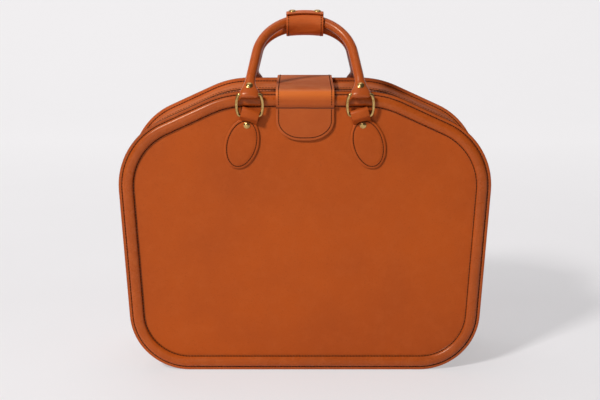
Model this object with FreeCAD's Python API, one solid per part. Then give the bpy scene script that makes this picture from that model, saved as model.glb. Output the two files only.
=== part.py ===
import FreeCAD, Part
import math
import os
from FreeCAD import Vector

os.makedirs("parts", exist_ok=True)

# Case outline, seen from the front
CASE_HEIGHT = 394.4
TOP_HALF_WIDTH = 108.0
SHOULDER_HALF_WIDTH = 257.0
SHOULDER_HEIGHT = 326.0
BOTTOM_HALF_WIDTH = 240.0
TOP_BEND_RADIUS = 130.0
SHOULDER_RADIUS = 100.0
BOTTOM_RADIUS = 83.0

# Layers of one half, measured from the middle of the case
SEAM_Y = 70.0
FLANGE_LAYER = 2.0
PANEL_THICKNESS = 2.2
BOARD_THICKNESS = 2.3
LINING_THICKNESS = 0.6
LINING_LAYER = 0.8
WALL_INSET = 7.0
WALL_THICKNESS = 2.2
PANEL_INSET = 3.0
BOARD_INSET = 11.0
SPINE_HALF_LENGTH = 160.0
SPINE_GAP = 0.3
PANEL_FACE_Y = SEAM_Y + PANEL_THICKNESS
BOARD_INNER_Y = SEAM_Y - BOARD_THICKNESS
LINING_INNER_Y = BOARD_INNER_Y - LINING_LAYER

# Bolstered rim
RIM_WIDTH = 21.4
RIM_LAYER = 1.2
BEAD_START = 5.2
BEAD_END = 19.6
BEAD_RISE = 4.0
RIM_FACE_Y = PANEL_FACE_Y + RIM_LAYER
RIM_CREST_Y = RIM_FACE_Y + BEAD_RISE

# Zip
ZIP_SLOT_HALF = 6.5
TEETH_GAP_HALF = 0.7
TEETH_WIDTH = 2.5
TEETH_TOP_INSET = 8.2
TEETH_DEPTH = 3.2
TAPE_CLEARANCE = 0.1
TAPE_THICKNESS = 1.0
TAPE_REACH = 14.0
TAPE_INSET = WALL_INSET + WALL_THICKNESS + TAPE_CLEARANCE
SLIDER_HEIGHT_Z = 165.0
SLIDER_LENGTH = 18.0
SLIDER_GAP = 1.4
SLIDER_HALF_WIDTH = 5.2
SLIDER_PLATE = 1.6
SLIDER_POST_HALF = 0.4
SLIDER_FACE_INSET = 5.8
PIN_RADIUS = 0.8
PIN_INSET = 3.8
PULL_LENGTH = 24.0
PULL_HALF_WIDTH = 3.6
SLIDER_SPACING = SLIDER_LENGTH + SLIDER_GAP

# Handle rings and their leather chapes
RING_X = 74.0
BAR_STANDOFF = 7.8
BAR_DROP = 31.4
RING_PITCH = 29.0
RING_HALF_WIDTH = 17.5
WIRE_RADIUS = 2.2
BAR_HALF_LENGTH = 12.6
RING_CORNER_RADIUS = 3.0
BAR_Y = PANEL_FACE_Y + BAR_STANDOFF
CHAPE_TILT = 16.0
CHAPE_LEATHER = 2.4
CHAPE_LOBE_THICKNESS = 3.4
CHAPE_NECK_HALF = 12.2
CHAPE_LOBE_HALF_WIDTH = 23.2
CHAPE_LOBE_HALF_LENGTH = 35.0
CHAPE_LOBE_DROP = 41.0
CHAPE_RIVET_DROP = 13.4
BAR_CLEARANCE = 0.4
LOOP_HALF_HEIGHT = 4.3

# Handles
ROLL_RADIUS = 6.7
ARCH_RADIUS = 66.4
LEG_SPLAY = 10.0
ARCH_TOP = 122.0
HANDLE_END_HALF = 13.4
HANDLE_END_DEPTH = 5.1
HANDLE_END_RISE = 16.4
HANDLE_FOOT_RISE = 28.0
HANDLE_EYE_CLEARANCE = 0.55
HANDLE_RIVET_RISE = 11.3
APEX_HALF_SPACING = 5.0
FRONT_RING_LEAN = 8.0
REAR_RING_LEAN = 26.0
HANDLE_EYE_RADIUS = WIRE_RADIUS + HANDLE_EYE_CLEARANCE

# Wrap that holds the two handles together
WRAP_HALF_LENGTH = 25.5
WRAP_CLEARANCE = 0.3
WRAP_THICKNESS = 2.2
TAB_THICKNESS = 2.2
TAB_CLEARANCE = 0.1
TAB_ROOT_ANGLE = 55.0
TAB_FREE_ANGLE = 138.0
SNAP_X = 17.0
SNAP_ANGLE = 98.0
SNAP_RADIUS = 5.4
SNAP_RISE = 1.5
STUD_RADIUS = 2.4
WRAP_SAG = ARCH_RADIUS - math.sqrt(ARCH_RADIUS**2 - WRAP_HALF_LENGTH**2)
WRAP_BORE = ROLL_RADIUS * ARCH_RADIUS / (ARCH_RADIUS - WRAP_SAG) + WRAP_SAG / 2 + WRAP_CLEARANCE
WRAP_OUTER = WRAP_BORE + WRAP_THICKNESS
TAB_INNER = WRAP_OUTER + TAB_CLEARANCE
TAB_OUTER = TAB_INNER + TAB_THICKNESS

# Closing strap
STRAP_HALF_WIDTH = 39.0
STRAP_THICKNESS = 4.0
STRAP_DROP = 66.0
STRAP_TIP_RISE = 27.0
STRAP_TIP_REACH = 34.0
STRAP_CLEARANCE = 0.2
STRAP_BEND_RADIUS = BEAD_RISE + 0.2
STRAP_BELLY_DROP = 14.5
STRAP_FOLD_DROP = 17.6
STRAP_FOLD_IN = 0.9
STRAP_CREASE_DROP = 22.6
STRAP_BREAK_GAP = 0.6
STRAP_BREAK_Y = SEAM_Y + 1.5
MAGNET_RADIUS = 9.0
MAGNET_THICKNESS = 1.6
MAGNET_DROP = 48.0

# Rivets
RIVET_RADIUS = 4.4
RIVET_RISE = 1.9
SHANK_RADIUS = 1.6
SHANK_LENGTH = 3.0
SHANK_CLEARANCE = 0.03

# The row origin lies under the middle of the whole box
ORIGIN_Y = -4.3


def line(a, b):
    return Part.LineSegment(a, b).toShape()


def arc(a, m, b):
    return Part.Arc(a, m, b).toShape()


def mirrored_y(shape):
    return shape.mirror(Vector(0, 0, 0), Vector(0, 1, 0))


def mirrored_x(shape):
    return shape.mirror(Vector(0, 0, 0), Vector(1, 0, 0))


def turned(shape, centre, axis, degrees):
    copy = shape.copy()
    copy.rotate(centre, axis, degrees)
    return copy


def moved(shape, x, y, z):
    copy = shape.copy()
    copy.translate(Vector(x, y, z))
    return copy


def box(x0, x1, y0, y1, z0, z1):
    return Part.makeBox(x1 - x0, y1 - y0, z1 - z0, Vector(x0, y0, z0))


def one_solid(shape):
    clean = shape.removeSplitter()
    solids = clean.Solids
    if len(solids) != 1 or not clean.isValid():
        raise ValueError("expected one valid solid, found %d" % len(solids))
    return solids[0]


def save(name, shape):
    solid = one_solid(shape)
    solid.translate(Vector(0, ORIGIN_Y, 0))
    solid.exportStep("parts/%s.step" % name)


# Solid through a row of many-sided sections
def polyhedron(sections, closed=False):
    faces = []
    after = sections[1:] + (sections[:1] if closed else [])
    for lower, upper in zip(sections, after):
        for k in range(len(lower)):
            n = (k + 1) % len(lower)
            faces += flat_faces(lower[k], lower[n], upper[n], upper[k])
    if not closed:
        for cap in (sections[0], sections[-1]):
            faces.append(Part.Face(Part.makePolygon(cap + [cap[0]])))
    shell = Part.makeCompound(faces)
    shell.sewShape()
    solid = Part.makeSolid(shell.Shells[0])
    if solid.Volume < 0:
        solid.reverse()
    return solid


def flat_faces(a, b, c, d):
    across = (b - a).cross(d - a)
    if abs((c - a).dot(across)) < 1e-6 * across.Length:
        loops = [(a, b, c, d, a)]
    else:
        loops = [(a, b, c, a), (a, c, d, a)]
    return [Part.Face(Part.makePolygon(list(loop))) for loop in loops]


# Many-sided prism along an axis
def prism(radius, sides, foot, axis, length):
    side = axis.cross(Vector(0, 0, 1))
    if side.Length < 0.01:
        side = Vector(1, 0, 0)
    side.normalize()
    up = axis.cross(side).normalize()
    points = []
    for k in range(sides + 1):
        a = 2 * math.pi * (k % sides + 0.5) / sides
        points.append(foot + side * (radius * math.cos(a)) + up * (radius * math.sin(a)))
    return Part.Face(Part.makePolygon(points)).extrude(axis * (length / axis.Length))


# Points along a turn, in equal steps
def bend_points(centre, point, axis, degrees, steps):
    arm = Part.Vertex(point)
    points = []
    for k in range(steps + 1):
        points.append(turned(arm, centre, axis, degrees * k / steps).Point)
    return points


def loop_face(points):
    clean = [points[0]]
    for point in points[1:]:
        if point.distanceToPoint(clean[-1]) > 1e-7:
            clean.append(point)
    if clean[-1].distanceToPoint(clean[0]) < 1e-7:
        clean.pop()
    return Part.Face(Part.makePolygon(clean + [clean[0]]))


# Profile carried along straight and curved edges that meet end to end
def swept(face, edges, start):
    solids = []
    place = start
    for edge in edges:
        ends = [vertex.Point for vertex in edge.Vertexes]
        if ends[0].distanceToPoint(place) > ends[1].distanceToPoint(place):
            ends.reverse()
        if isinstance(edge.Curve, Part.Circle):
            centre = edge.Curve.Center
            v0, v1 = ends[0] - centre, ends[1] - centre
            turn = math.degrees(math.atan2(v0.cross(v1).y, v0.dot(v1)))
            solids.append(face.revolve(centre, Vector(0, 1, 0), turn))
            face = turned(face, centre, Vector(0, 1, 0), turn)
        else:
            solids.append(face.extrude(ends[1] - ends[0]))
            face = moved(face, *(ends[1] - ends[0]))
        place = ends[1]
    return solids[0].multiFuse(solids[1:]).removeSplitter()


# Outline of the case, moved inward by an inset
def right_half(inset):
    corners = [
        (0.0, CASE_HEIGHT),
        (TOP_HALF_WIDTH, CASE_HEIGHT),
        (SHOULDER_HALF_WIDTH, SHOULDER_HEIGHT),
        (BOTTOM_HALF_WIDTH, 0.0),
        (0.0, 0.0),
    ]
    sides = []
    for (x0, z0), (x1, z1) in zip(corners[:-1], corners[1:]):
        length = math.hypot(x1 - x0, z1 - z0)
        ux, uz = (x1 - x0) / length, (z1 - z0) / length
        sides.append(((x0 + uz * inset, z0 - ux * inset), (ux, uz)))
    bends = []
    radii = (TOP_BEND_RADIUS, SHOULDER_RADIUS, BOTTOM_RADIUS)
    for (p, u), (q, v), radius in zip(sides[:-1], sides[1:], radii):
        cross = u[0] * v[1] - u[1] * v[0]
        t = ((q[0] - p[0]) * v[1] - (q[1] - p[1]) * v[0]) / cross
        corner = (p[0] + u[0] * t, p[1] + u[1] * t)
        bend = radius - inset
        turn = math.acos(u[0] * v[0] + u[1] * v[1])
        reach = bend * math.tan(turn / 2)
        start = Vector(corner[0] - u[0] * reach, 0, corner[1] - u[1] * reach)
        end = Vector(corner[0] + v[0] * reach, 0, corner[1] + v[1] * reach)
        centre = start + Vector(u[1], 0, -u[0]) * bend
        half = Vector(corner[0], 0, corner[1]) - centre
        middle = centre + half * (bend / half.Length)
        bends.append((start, middle, end))
    edges = [line(Vector(0, 0, CASE_HEIGHT - inset), bends[0][0])]
    for index, (start, middle, end) in enumerate(bends):
        edges.append(arc(start, middle, end))
        after = bends[index + 1][0] if index < 2 else Vector(0, 0, inset)
        edges.append(line(end, after))
    return edges


def outline_edges(inset):
    edges = right_half(inset)
    return edges + [mirrored_x(edge) for edge in reversed(edges)]


def outline(inset):
    return Part.Wire(Part.__sortEdges__(outline_edges(inset)))


def plate(inset, y0, y1):
    face = Part.Face(outline(inset))
    return moved(face.extrude(Vector(0, y1 - y0, 0)), 0, y0, 0)


# The same outline with its bends in short straight steps
def stepped_outline(inset):
    points = []
    steps = iter((4, 6, 8))
    for edge in right_half(inset)[1:-1]:
        if isinstance(edge.Curve, Part.Circle):
            points += edge.discretize(Number=next(steps) + 1)
    if points[0].z < points[-1].z:
        points.reverse()
    return loop_face(points + [Vector(-p.x, 0, p.z) for p in reversed(points)])


def stepped_plate(inset, y0, y1):
    face = stepped_outline(inset)
    return moved(face.extrude(Vector(0, y1 - y0, 0)), 0, y0, 0)


def hoop(outer_inset, inner_inset, y0, y1):
    return stepped_plate(outer_inset, y0, y1).cut(stepped_plate(inner_inset, y0 - 1, y1 + 1))


def without_spine(shape):
    reach = SPINE_HALF_LENGTH + SPINE_GAP
    height = BOTTOM_RADIUS / 2
    return shape.cut(box(-reach, reach, -2 * SEAM_Y, 2 * SEAM_Y, -height, height))


# Flat pieces of the front half
def front_panel():
    panel = plate(PANEL_INSET, -PANEL_FACE_Y, -SEAM_Y)
    return panel.cut(magnet_disc(-PANEL_FACE_Y - 1, -PANEL_FACE_Y + MAGNET_THICKNESS))


def front_board():
    return stepped_plate(BOARD_INSET, -SEAM_Y, -BOARD_INNER_Y)


def front_lining():
    inner = WALL_INSET + WALL_THICKNESS
    sheet = stepped_plate(BOARD_INSET, -BOARD_INNER_Y, -LINING_INNER_Y)
    wall = hoop(inner, inner + LINING_THICKNESS, -BOARD_INNER_Y, -TAPE_REACH - 0.2)
    joint = hoop(inner, BOARD_INSET + 2, -BOARD_INNER_Y, -LINING_INNER_Y)
    return without_spine(wall.fuse(joint)).fuse(sheet)


# Bolstered rim that runs round the edge of the panel
def front_rim():
    def at(inset, y):
        return Vector(0, -y, CASE_HEIGHT - inset)

    middle, half = (BEAD_START + BEAD_END) / 2, (BEAD_END - BEAD_START) / 2
    points = [at(PANEL_INSET, SEAM_Y), at(0, SEAM_Y), at(0, RIM_FACE_Y)]
    radius = (half**2 + BEAD_RISE**2) / (2 * BEAD_RISE)
    span = math.asin(half / radius)
    for k in range(6):
        a = span * (2 * k / 5 - 1)
        points.append(at(middle + radius * math.sin(a), RIM_CREST_Y - radius * (1 - math.cos(a))))
    points += [at(RIM_WIDTH, PANEL_FACE_Y), at(PANEL_INSET, PANEL_FACE_Y)]
    return swept(loop_face(points), outline_edges(0), Vector(0, 0, CASE_HEIGHT))


# Side wall of the front half with its turned-out seam edge
def front_gusset():
    inner = WALL_INSET + WALL_THICKNESS
    wall = hoop(WALL_INSET, inner, -SEAM_Y, -ZIP_SLOT_HALF)
    flange = hoop(0.4, WALL_INSET + 1, -SEAM_Y, -SEAM_Y + FLANGE_LAYER)
    return without_spine(wall.fuse(flange))


def bottom_gusset():
    inner = WALL_INSET + WALL_THICKNESS
    reach = SPINE_HALF_LENGTH
    sheet = box(-reach, reach, -SEAM_Y, SEAM_Y, WALL_INSET, inner)
    front = box(-reach, reach, -SEAM_Y, -SEAM_Y + FLANGE_LAYER, 0.4, inner)
    return sheet.fuse(front).fuse(mirrored_y(front))


def front_zip_tape():
    start = -TEETH_GAP_HALF - TEETH_WIDTH
    return without_spine(hoop(TAPE_INSET, TAPE_INSET + TAPE_THICKNESS, -TAPE_REACH, start))


def front_zip_teeth():
    bottom = TEETH_TOP_INSET + TEETH_DEPTH
    start = -TEETH_GAP_HALF - TEETH_WIDTH
    return without_spine(hoop(TEETH_TOP_INSET, bottom, start, -TEETH_GAP_HALF))


# Leather chape that holds a ring, with its bar at the origin
def chape_blank():
    def at(t, z):
        return Vector(0, -t, z)

    depth = BAR_STANDOFF
    bore = WIRE_RADIUS + BAR_CLEARANCE
    outer = bore + CHAPE_LEATHER
    face = 2 * CHAPE_LEATHER
    rise = LOOP_HALF_HEIGHT
    low = -CHAPE_LOBE_DROP - CHAPE_LOBE_HALF_LENGTH - 2
    across = Vector(1, 0, 0)
    points = [at(0, low), at(0, -rise / 2)]
    points += bend_points(at(depth, rise), at(depth - outer, rise), across, 180, 8)
    points += [at(depth + outer, -rise), at(face, -rise - 1.6 * CHAPE_LEATHER), at(face, -CHAPE_RIVET_DROP - RIVET_RADIUS - 1)]
    points += [at(CHAPE_LOBE_THICKNESS, -CHAPE_RIVET_DROP - 2 * RIVET_RADIUS - 1), at(CHAPE_LOBE_THICKNESS, low)]
    width = Vector(4 * CHAPE_LOBE_HALF_WIDTH, 0, 0)
    strap = loop_face(points).extrude(width)
    slot = bend_points(at(depth, rise), at(depth - bore, rise), across, 180, 8)
    slot += bend_points(at(depth, -rise), at(depth + bore, -rise), across, 180, 8)
    strap = strap.cut(loop_face(slot).extrude(width))
    return moved(strap, -2 * CHAPE_LOBE_HALF_WIDTH, depth, 0).common(chape_plan())


def chape_plan():
    wide, tall = CHAPE_LOBE_HALF_WIDTH, CHAPE_LOBE_HALF_LENGTH
    top = 2 * (WIRE_RADIUS + CHAPE_LEATHER) + LOOP_HALF_HEIGHT
    neck = -LOOP_HALF_HEIGHT - 1.6 * CHAPE_LEATHER
    u, v = CHAPE_NECK_HALF / wide, (neck + CHAPE_LOBE_DROP) / tall
    start = math.atan2(v, u) - math.acos(1 / math.hypot(u, v))
    right = [Vector(CHAPE_NECK_HALF, 0, top), Vector(CHAPE_NECK_HALF, 0, neck)]
    points = [Vector(-p.x, 0, p.z) for p in reversed(right)] + right
    steps = 20
    for k in range(steps + 1):
        a = start - (math.pi + 2 * start) * k / steps
        points.append(Vector(wide * math.cos(a), 0, tall * math.sin(a) - CHAPE_LOBE_DROP))
    reach = 4 * BAR_STANDOFF
    return moved(loop_face(points).extrude(Vector(0, 2 * reach, 0)), 0, -reach, 0)


def rivet():
    sections = []
    steps = [(SHANK_RADIUS, -SHANK_LENGTH), (SHANK_RADIUS, 0.0), (RIVET_RADIUS, 0.0)]
    steps += [(0.84 * RIVET_RADIUS, 0.5 * RIVET_RISE), (0.42 * RIVET_RADIUS, RIVET_RISE)]
    for radius, height in steps:
        angles = [math.pi * (k + 0.5) / 6 for k in range(12)]
        sections.append([Vector(radius * math.cos(a), -height, radius * math.sin(a)) for a in angles])
    return polyhedron(sections)


def rivet_seat():
    depth = SHANK_LENGTH + 0.1
    return prism(SHANK_RADIUS + SHANK_CLEARANCE, 12, Vector(0, 0, 0), Vector(0, 1, 0), depth)


def placed_chape(shape):
    tilted = turned(shape, Vector(0, 0, 0), Vector(0, 1, 0), CHAPE_TILT)
    return moved(tilted, -RING_X, -BAR_Y, CASE_HEIGHT - BAR_DROP)


def left_chape():
    seat = moved(rivet_seat(), 0, BAR_STANDOFF - 2 * CHAPE_LEATHER, -CHAPE_RIVET_DROP)
    return placed_chape(chape_blank().cut(seat))


def left_chape_rivet():
    lift = BAR_STANDOFF - 2 * CHAPE_LEATHER
    return placed_chape(moved(rivet(), 0, lift, -CHAPE_RIVET_DROP))


# Bow-sided ring with its lower bar at the origin
def ring():
    half = RING_PITCH / 2
    corner = RING_CORNER_RADIUS
    reach = RING_HALF_WIDTH - BAR_HALF_LENGTH
    rise = half - corner
    bow = (reach**2 + rise**2 - corner**2) / (2 * (reach - corner))
    bow_x = RING_HALF_WIDTH - bow
    angle = math.degrees(math.atan2(rise, BAR_HALF_LENGTH - bow_x))
    turn = Vector(0, -1, 0)
    foot = Vector(BAR_HALF_LENGTH, 0, 0)
    lower = bend_points(Vector(BAR_HALF_LENGTH, 0, corner), foot, turn, 90 - angle, 2)
    side = bend_points(Vector(bow_x, 0, half), lower[-1], turn, 2 * angle, 10)
    right = lower[:-1] + side + [Vector(p.x, 0, RING_PITCH - p.z) for p in reversed(lower[:-1])]
    path = right + [Vector(-p.x, 0, RING_PITCH - p.z) for p in right]
    sections = []
    for index, point in enumerate(path):
        into = (point - path[index - 1]).normalize()
        away = (path[(index + 1) % len(path)] - point).normalize()
        along = (into + away).normalize()
        out = Vector(along.z, 0, -along.x) * (WIRE_RADIUS / along.dot(into))
        angles = [math.pi * (k + 0.5) / 4 for k in range(8)]
        sections.append([point + out * math.cos(a) + Vector(0, WIRE_RADIUS * math.sin(a), 0) for a in angles])
    return polyhedron(sections, closed=True)


def front_left_ring():
    leaning = turned(ring(), Vector(0, 0, 0), Vector(1, 0, 0), FRONT_RING_LEAN)
    return moved(leaning, -RING_X, -BAR_Y, CASE_HEIGHT - BAR_DROP)


def rear_left_ring():
    leaning = turned(ring(), Vector(0, 0, 0), Vector(1, 0, 0), -REAR_RING_LEAN)
    return moved(leaning, -RING_X, BAR_Y, CASE_HEIGHT - BAR_DROP)


# Rolled handle with its ring bars on the X axis, standing in the XZ plane
def roll_section(centre, out, half_out, half_y, fullness):
    points = []
    for k in range(12):
        a = math.pi * (k + 0.5) / 6
        c, d = math.cos(a), math.sin(a)
        across = math.copysign(abs(c) ** fullness, c)
        deep = math.copysign(abs(d) ** fullness, d)
        points.append(centre + out * (half_out * across) + Vector(0, half_y * deep, 0))
    return points


def handle():
    splay = math.radians(LEG_SPLAY)
    centre = Vector(0, 0, ARCH_TOP - ARCH_RADIUS)
    joint = centre + Vector(math.cos(splay), 0, math.sin(splay)) * ARCH_RADIUS
    foot_x = joint.x + (joint.z - HANDLE_FOOT_RISE) * math.tan(splay)
    depth, wide = HANDLE_END_DEPTH, HANDLE_END_HALF
    waist, narrow = 0.74 * wide, 0.58 * wide
    rows = [(RING_X, -depth, wide, 0.25 * depth, 0.4), (RING_X, -0.72 * depth, wide, 0.72 * depth, 0.4)]
    rows += [(RING_X, 0.0, wide, depth, 0.4), (RING_X, 0.8 * depth, wide, depth, 0.4)]
    rows += [(RING_X, 0.65 * HANDLE_END_RISE, waist, depth, 0.45)]
    rows += [(RING_X, HANDLE_END_RISE, narrow, depth, 0.6)]
    middle = ((RING_X + foot_x) / 2, (HANDLE_END_RISE + HANDLE_FOOT_RISE) / 2)
    rows += [(*middle, 1.06 * ROLL_RADIUS, 0.9 * ROLL_RADIUS, 0.85)]
    rows += [(foot_x, HANDLE_FOOT_RISE, ROLL_RADIUS, ROLL_RADIUS, 1.0)]
    right = [roll_section(Vector(x, 0, z), Vector(1, 0, 0), a, b, f) for x, z, a, b, f in rows]
    sections = list(right)
    steps = 22
    for k in range(steps + 1):
        bearing = splay + (math.pi - 2 * splay) * k / steps
        out = Vector(math.cos(bearing), 0, math.sin(bearing))
        sections.append(roll_section(centre + out * ARCH_RADIUS, out, ROLL_RADIUS, ROLL_RADIUS, 1.0))
    for x, z, a, b, f in reversed(rows):
        sections.append(roll_section(Vector(-x, 0, z), Vector(-1, 0, 0), a, b, f))
    roll = polyhedron(sections)
    for x in (-RING_X, RING_X):
        start = Vector(x - 2 * wide, 0, 0)
        roll = roll.cut(prism(HANDLE_EYE_RADIUS, 16, start, Vector(1, 0, 0), 4 * wide))
    return roll


def front_top_bar():
    lean = math.radians(FRONT_RING_LEAN)
    return (
        -BAR_Y - RING_PITCH * math.sin(lean),
        CASE_HEIGHT - BAR_DROP + RING_PITCH * math.cos(lean),
    )


def rear_top_bar():
    lean = math.radians(REAR_RING_LEAN)
    return (
        BAR_Y + RING_PITCH * math.sin(lean),
        CASE_HEIGHT - BAR_DROP + RING_PITCH * math.cos(lean),
    )


# Lean at which each handle's top comes beside the middle of the case
def front_handle_lean():
    return math.degrees(math.asin((-APEX_HALF_SPACING - front_top_bar()[0]) / ARCH_TOP))


def rear_handle_lean():
    return math.degrees(math.asin((rear_top_bar()[0] - APEX_HALF_SPACING) / ARCH_TOP))


def as_front_handle(shape):
    leaning = turned(shape, Vector(0, 0, 0), Vector(1, 0, 0), -front_handle_lean())
    return moved(leaning, 0, *front_top_bar())


def as_rear_handle(shape):
    leaning = turned(shape, Vector(0, 0, 0), Vector(1, 0, 0), rear_handle_lean())
    return moved(leaning, 0, *rear_top_bar())


def left_handle_rivet():
    return moved(rivet(), -RING_X, -HANDLE_END_DEPTH, HANDLE_RIVET_RISE)


def riveted_handle():
    seat = moved(rivet_seat(), -RING_X, -HANDLE_END_DEPTH, HANDLE_RIVET_RISE)
    return handle().cut(seat).cut(mirrored_x(seat))


# Wrap round both handle rolls
def wrap_front():
    return as_front_handle(Part.Vertex(0, 0, ARCH_TOP - WRAP_SAG / 2)).Point


def wrap_rear():
    return as_rear_handle(Part.Vertex(0, 0, ARCH_TOP - WRAP_SAG / 2)).Point


def capsule(radius, x_half):
    front, rear = wrap_front(), wrap_rear()
    along = (rear - front).normalize()
    side = Vector(0, -along.z, along.y) * radius
    start = Vector(-x_half, 0, 0)
    across = Vector(1, 0, 0)
    points = bend_points(front + start, front + start + side, across, 180, 12)
    points += bend_points(rear + start, rear + start - side, across, 180, 12)
    return loop_face(points).extrude(across * (2 * x_half))


def leaf(inner, outer, start, end):
    axis = wrap_front() - Vector(WRAP_HALF_LENGTH, 0, 0)
    across = Vector(1, 0, 0)

    def at(radius, degrees):
        a = math.radians(degrees)
        return axis + Vector(0, radius * math.cos(a), radius * math.sin(a))

    points = bend_points(axis, at(inner, start), across, end - start, 10)
    points += bend_points(axis, at(outer, end), across, start - end, 10)
    return loop_face(points).extrude(across * (2 * WRAP_HALF_LENGTH))


def snap_part(radius, inner, outer, x):
    a = math.radians(SNAP_ANGLE)
    out = Vector(0, math.cos(a), math.sin(a))
    return prism(radius, 16, wrap_front() + Vector(x, 0, 0) + out * inner, out, outer - inner)


def rear_ply():
    front, rear = wrap_front(), wrap_rear()
    along = (rear - front).normalize()
    out = Vector(0, -along.z, along.y)
    low = front + out * (WRAP_OUTER - 0.4) + along * 0.3
    high = front + out * TAB_OUTER + along * 0.3
    reach = 7 * TAB_THICKNESS
    slab = loop_face([low, high, high + along * reach, low + along * (reach + TAB_THICKNESS)])
    slab = slab.extrude(Vector(2 * WRAP_HALF_LENGTH, 0, 0))
    return moved(slab, -WRAP_HALF_LENGTH, 0, 0)


def stud_foot():
    return WRAP_BORE + WRAP_THICKNESS / 4


def wrap_band():
    shell = capsule(WRAP_OUTER, WRAP_HALF_LENGTH)
    shell = shell.cut(capsule(WRAP_BORE, 2 * WRAP_HALF_LENGTH))
    band = shell.fuse(rear_ply())
    for x in (-SNAP_X, SNAP_X):
        band = band.cut(snap_part(STUD_RADIUS, stud_foot(), TAB_OUTER, x))
    return band


def wrap_stud(x):
    return snap_part(STUD_RADIUS, stud_foot(), WRAP_OUTER - 0.3, x)


def snap_cap(x):
    disc = snap_part(SNAP_RADIUS, TAB_OUTER - TAB_THICKNESS / 2, TAB_OUTER + 0.4, x)
    crown = snap_part(0.78 * SNAP_RADIUS, TAB_OUTER - 0.2, TAB_OUTER + SNAP_RISE, x)
    return disc.fuse(crown)


def wrap_tab():
    tab = leaf(TAB_INNER, TAB_OUTER, TAB_ROOT_ANGLE, TAB_FREE_ANGLE)
    return tab.cut(snap_cap(-SNAP_X)).cut(snap_cap(SNAP_X))


# Closing strap over the top of the case
def strap():
    top = CASE_HEIGHT
    clear = RIM_CREST_Y + STRAP_CLEARANCE + 0.1
    face = PANEL_FACE_Y + STRAP_CLEARANCE
    t = STRAP_THICKNESS

    def path(side, grow):
        y0, y1 = clear + grow, face + grow
        bend = STRAP_BEND_RADIUS + grow
        crown = Vector(0, side * (y0 - bend), top + grow)
        knee = bend * math.sqrt(0.5)
        swell = Vector(0, side * (y0 - bend + knee), top + grow - bend + knee)
        drop = Vector(0, side * y0, top + grow - bend)
        belly = Vector(0, side * y0, top - STRAP_BELLY_DROP)
        fold = Vector(0, side * (y0 - STRAP_FOLD_IN), top - STRAP_FOLD_DROP + 0.1 * grow)
        crease = Vector(0, side * y1, top - STRAP_CREASE_DROP + 0.15 * grow)
        tip = Vector(0, side * y1, top - STRAP_DROP)
        edges = [arc(crown, swell, drop), line(drop, belly), line(belly, fold)]
        edges += [line(fold, crease), line(crease, tip)]
        return crown, tip, edges

    f_in, f_tip_in, f_edges_in = path(-1, 0.0)
    f_out, f_tip_out, f_edges_out = path(-1, t)
    r_in, r_tip_in, r_edges_in = path(1, 0.0)
    r_out, r_tip_out, r_edges_out = path(1, t)
    edges = f_edges_in + f_edges_out + r_edges_in + r_edges_out
    edges += [line(f_in, r_in), line(f_out, r_out)]
    edges += [line(f_tip_in, f_tip_out), line(r_tip_in, r_tip_out)]
    face_wire = Part.Wire(Part.__sortEdges__(edges))
    body = Part.Face(face_wire).extrude(Vector(2 * STRAP_HALF_WIDTH, 0, 0))
    body = moved(body, -STRAP_HALF_WIDTH, 0, 0)
    return body.common(strap_plan())


def strap_plan():
    w = STRAP_HALF_WIDTH
    low = CASE_HEIGHT - STRAP_DROP
    head = CASE_HEIGHT + 2 * STRAP_THICKNESS
    right = [Vector(w, 0, head)]
    for k in range(9):
        a = math.pi / 2 * k / 8
        x = w - STRAP_TIP_REACH * (1 - math.cos(a))
        right.append(Vector(x, 0, low + STRAP_TIP_RISE * (1 - math.sin(a))))
    left = [Vector(-p.x, 0, p.z) for p in reversed(right)]
    face = loop_face(right + left)
    return moved(face.extrude(Vector(0, 4 * SEAM_Y, 0)), 0, -2 * SEAM_Y, 0)


def magnet_disc(y0, y1):
    foot = Vector(0, y0, CASE_HEIGHT - MAGNET_DROP)
    return prism(MAGNET_RADIUS, 24, foot, Vector(0, 1, 0), y1 - y0)


def flap_magnet():
    inner = -PANEL_FACE_Y - STRAP_CLEARANCE
    return magnet_disc(inner - MAGNET_THICKNESS, inner)


def panel_magnet():
    return magnet_disc(-PANEL_FACE_Y, -PANEL_FACE_Y + MAGNET_THICKNESS)


def strap_side(y0, y1):
    reach = 2 * STRAP_HALF_WIDTH
    return strap().common(box(-reach, reach, y0, y1, 0, 2 * CASE_HEIGHT))


def closure_flap():
    return strap_side(-2 * SEAM_Y, STRAP_BREAK_Y - STRAP_BREAK_GAP / 2).cut(flap_magnet())


def flap_anchor():
    return strap_side(STRAP_BREAK_Y + STRAP_BREAK_GAP / 2, 2 * SEAM_Y)


# Zip sliders on the right side wall
def wall_point(z, inset):
    run = SHOULDER_HALF_WIDTH - BOTTOM_HALF_WIDTH
    length = math.hypot(run, SHOULDER_HEIGHT)
    x = BOTTOM_HALF_WIDTH + run * z / SHOULDER_HEIGHT
    return Vector(x - inset * SHOULDER_HEIGHT / length, 0, z + inset * run / length)


def wall_slope():
    return math.degrees(math.atan2(SHOULDER_HALF_WIDTH - BOTTOM_HALF_WIDTH, SHOULDER_HEIGHT))


def slider_hinge(up):
    return up * (SLIDER_LENGTH / 2 - 2.5)


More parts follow.
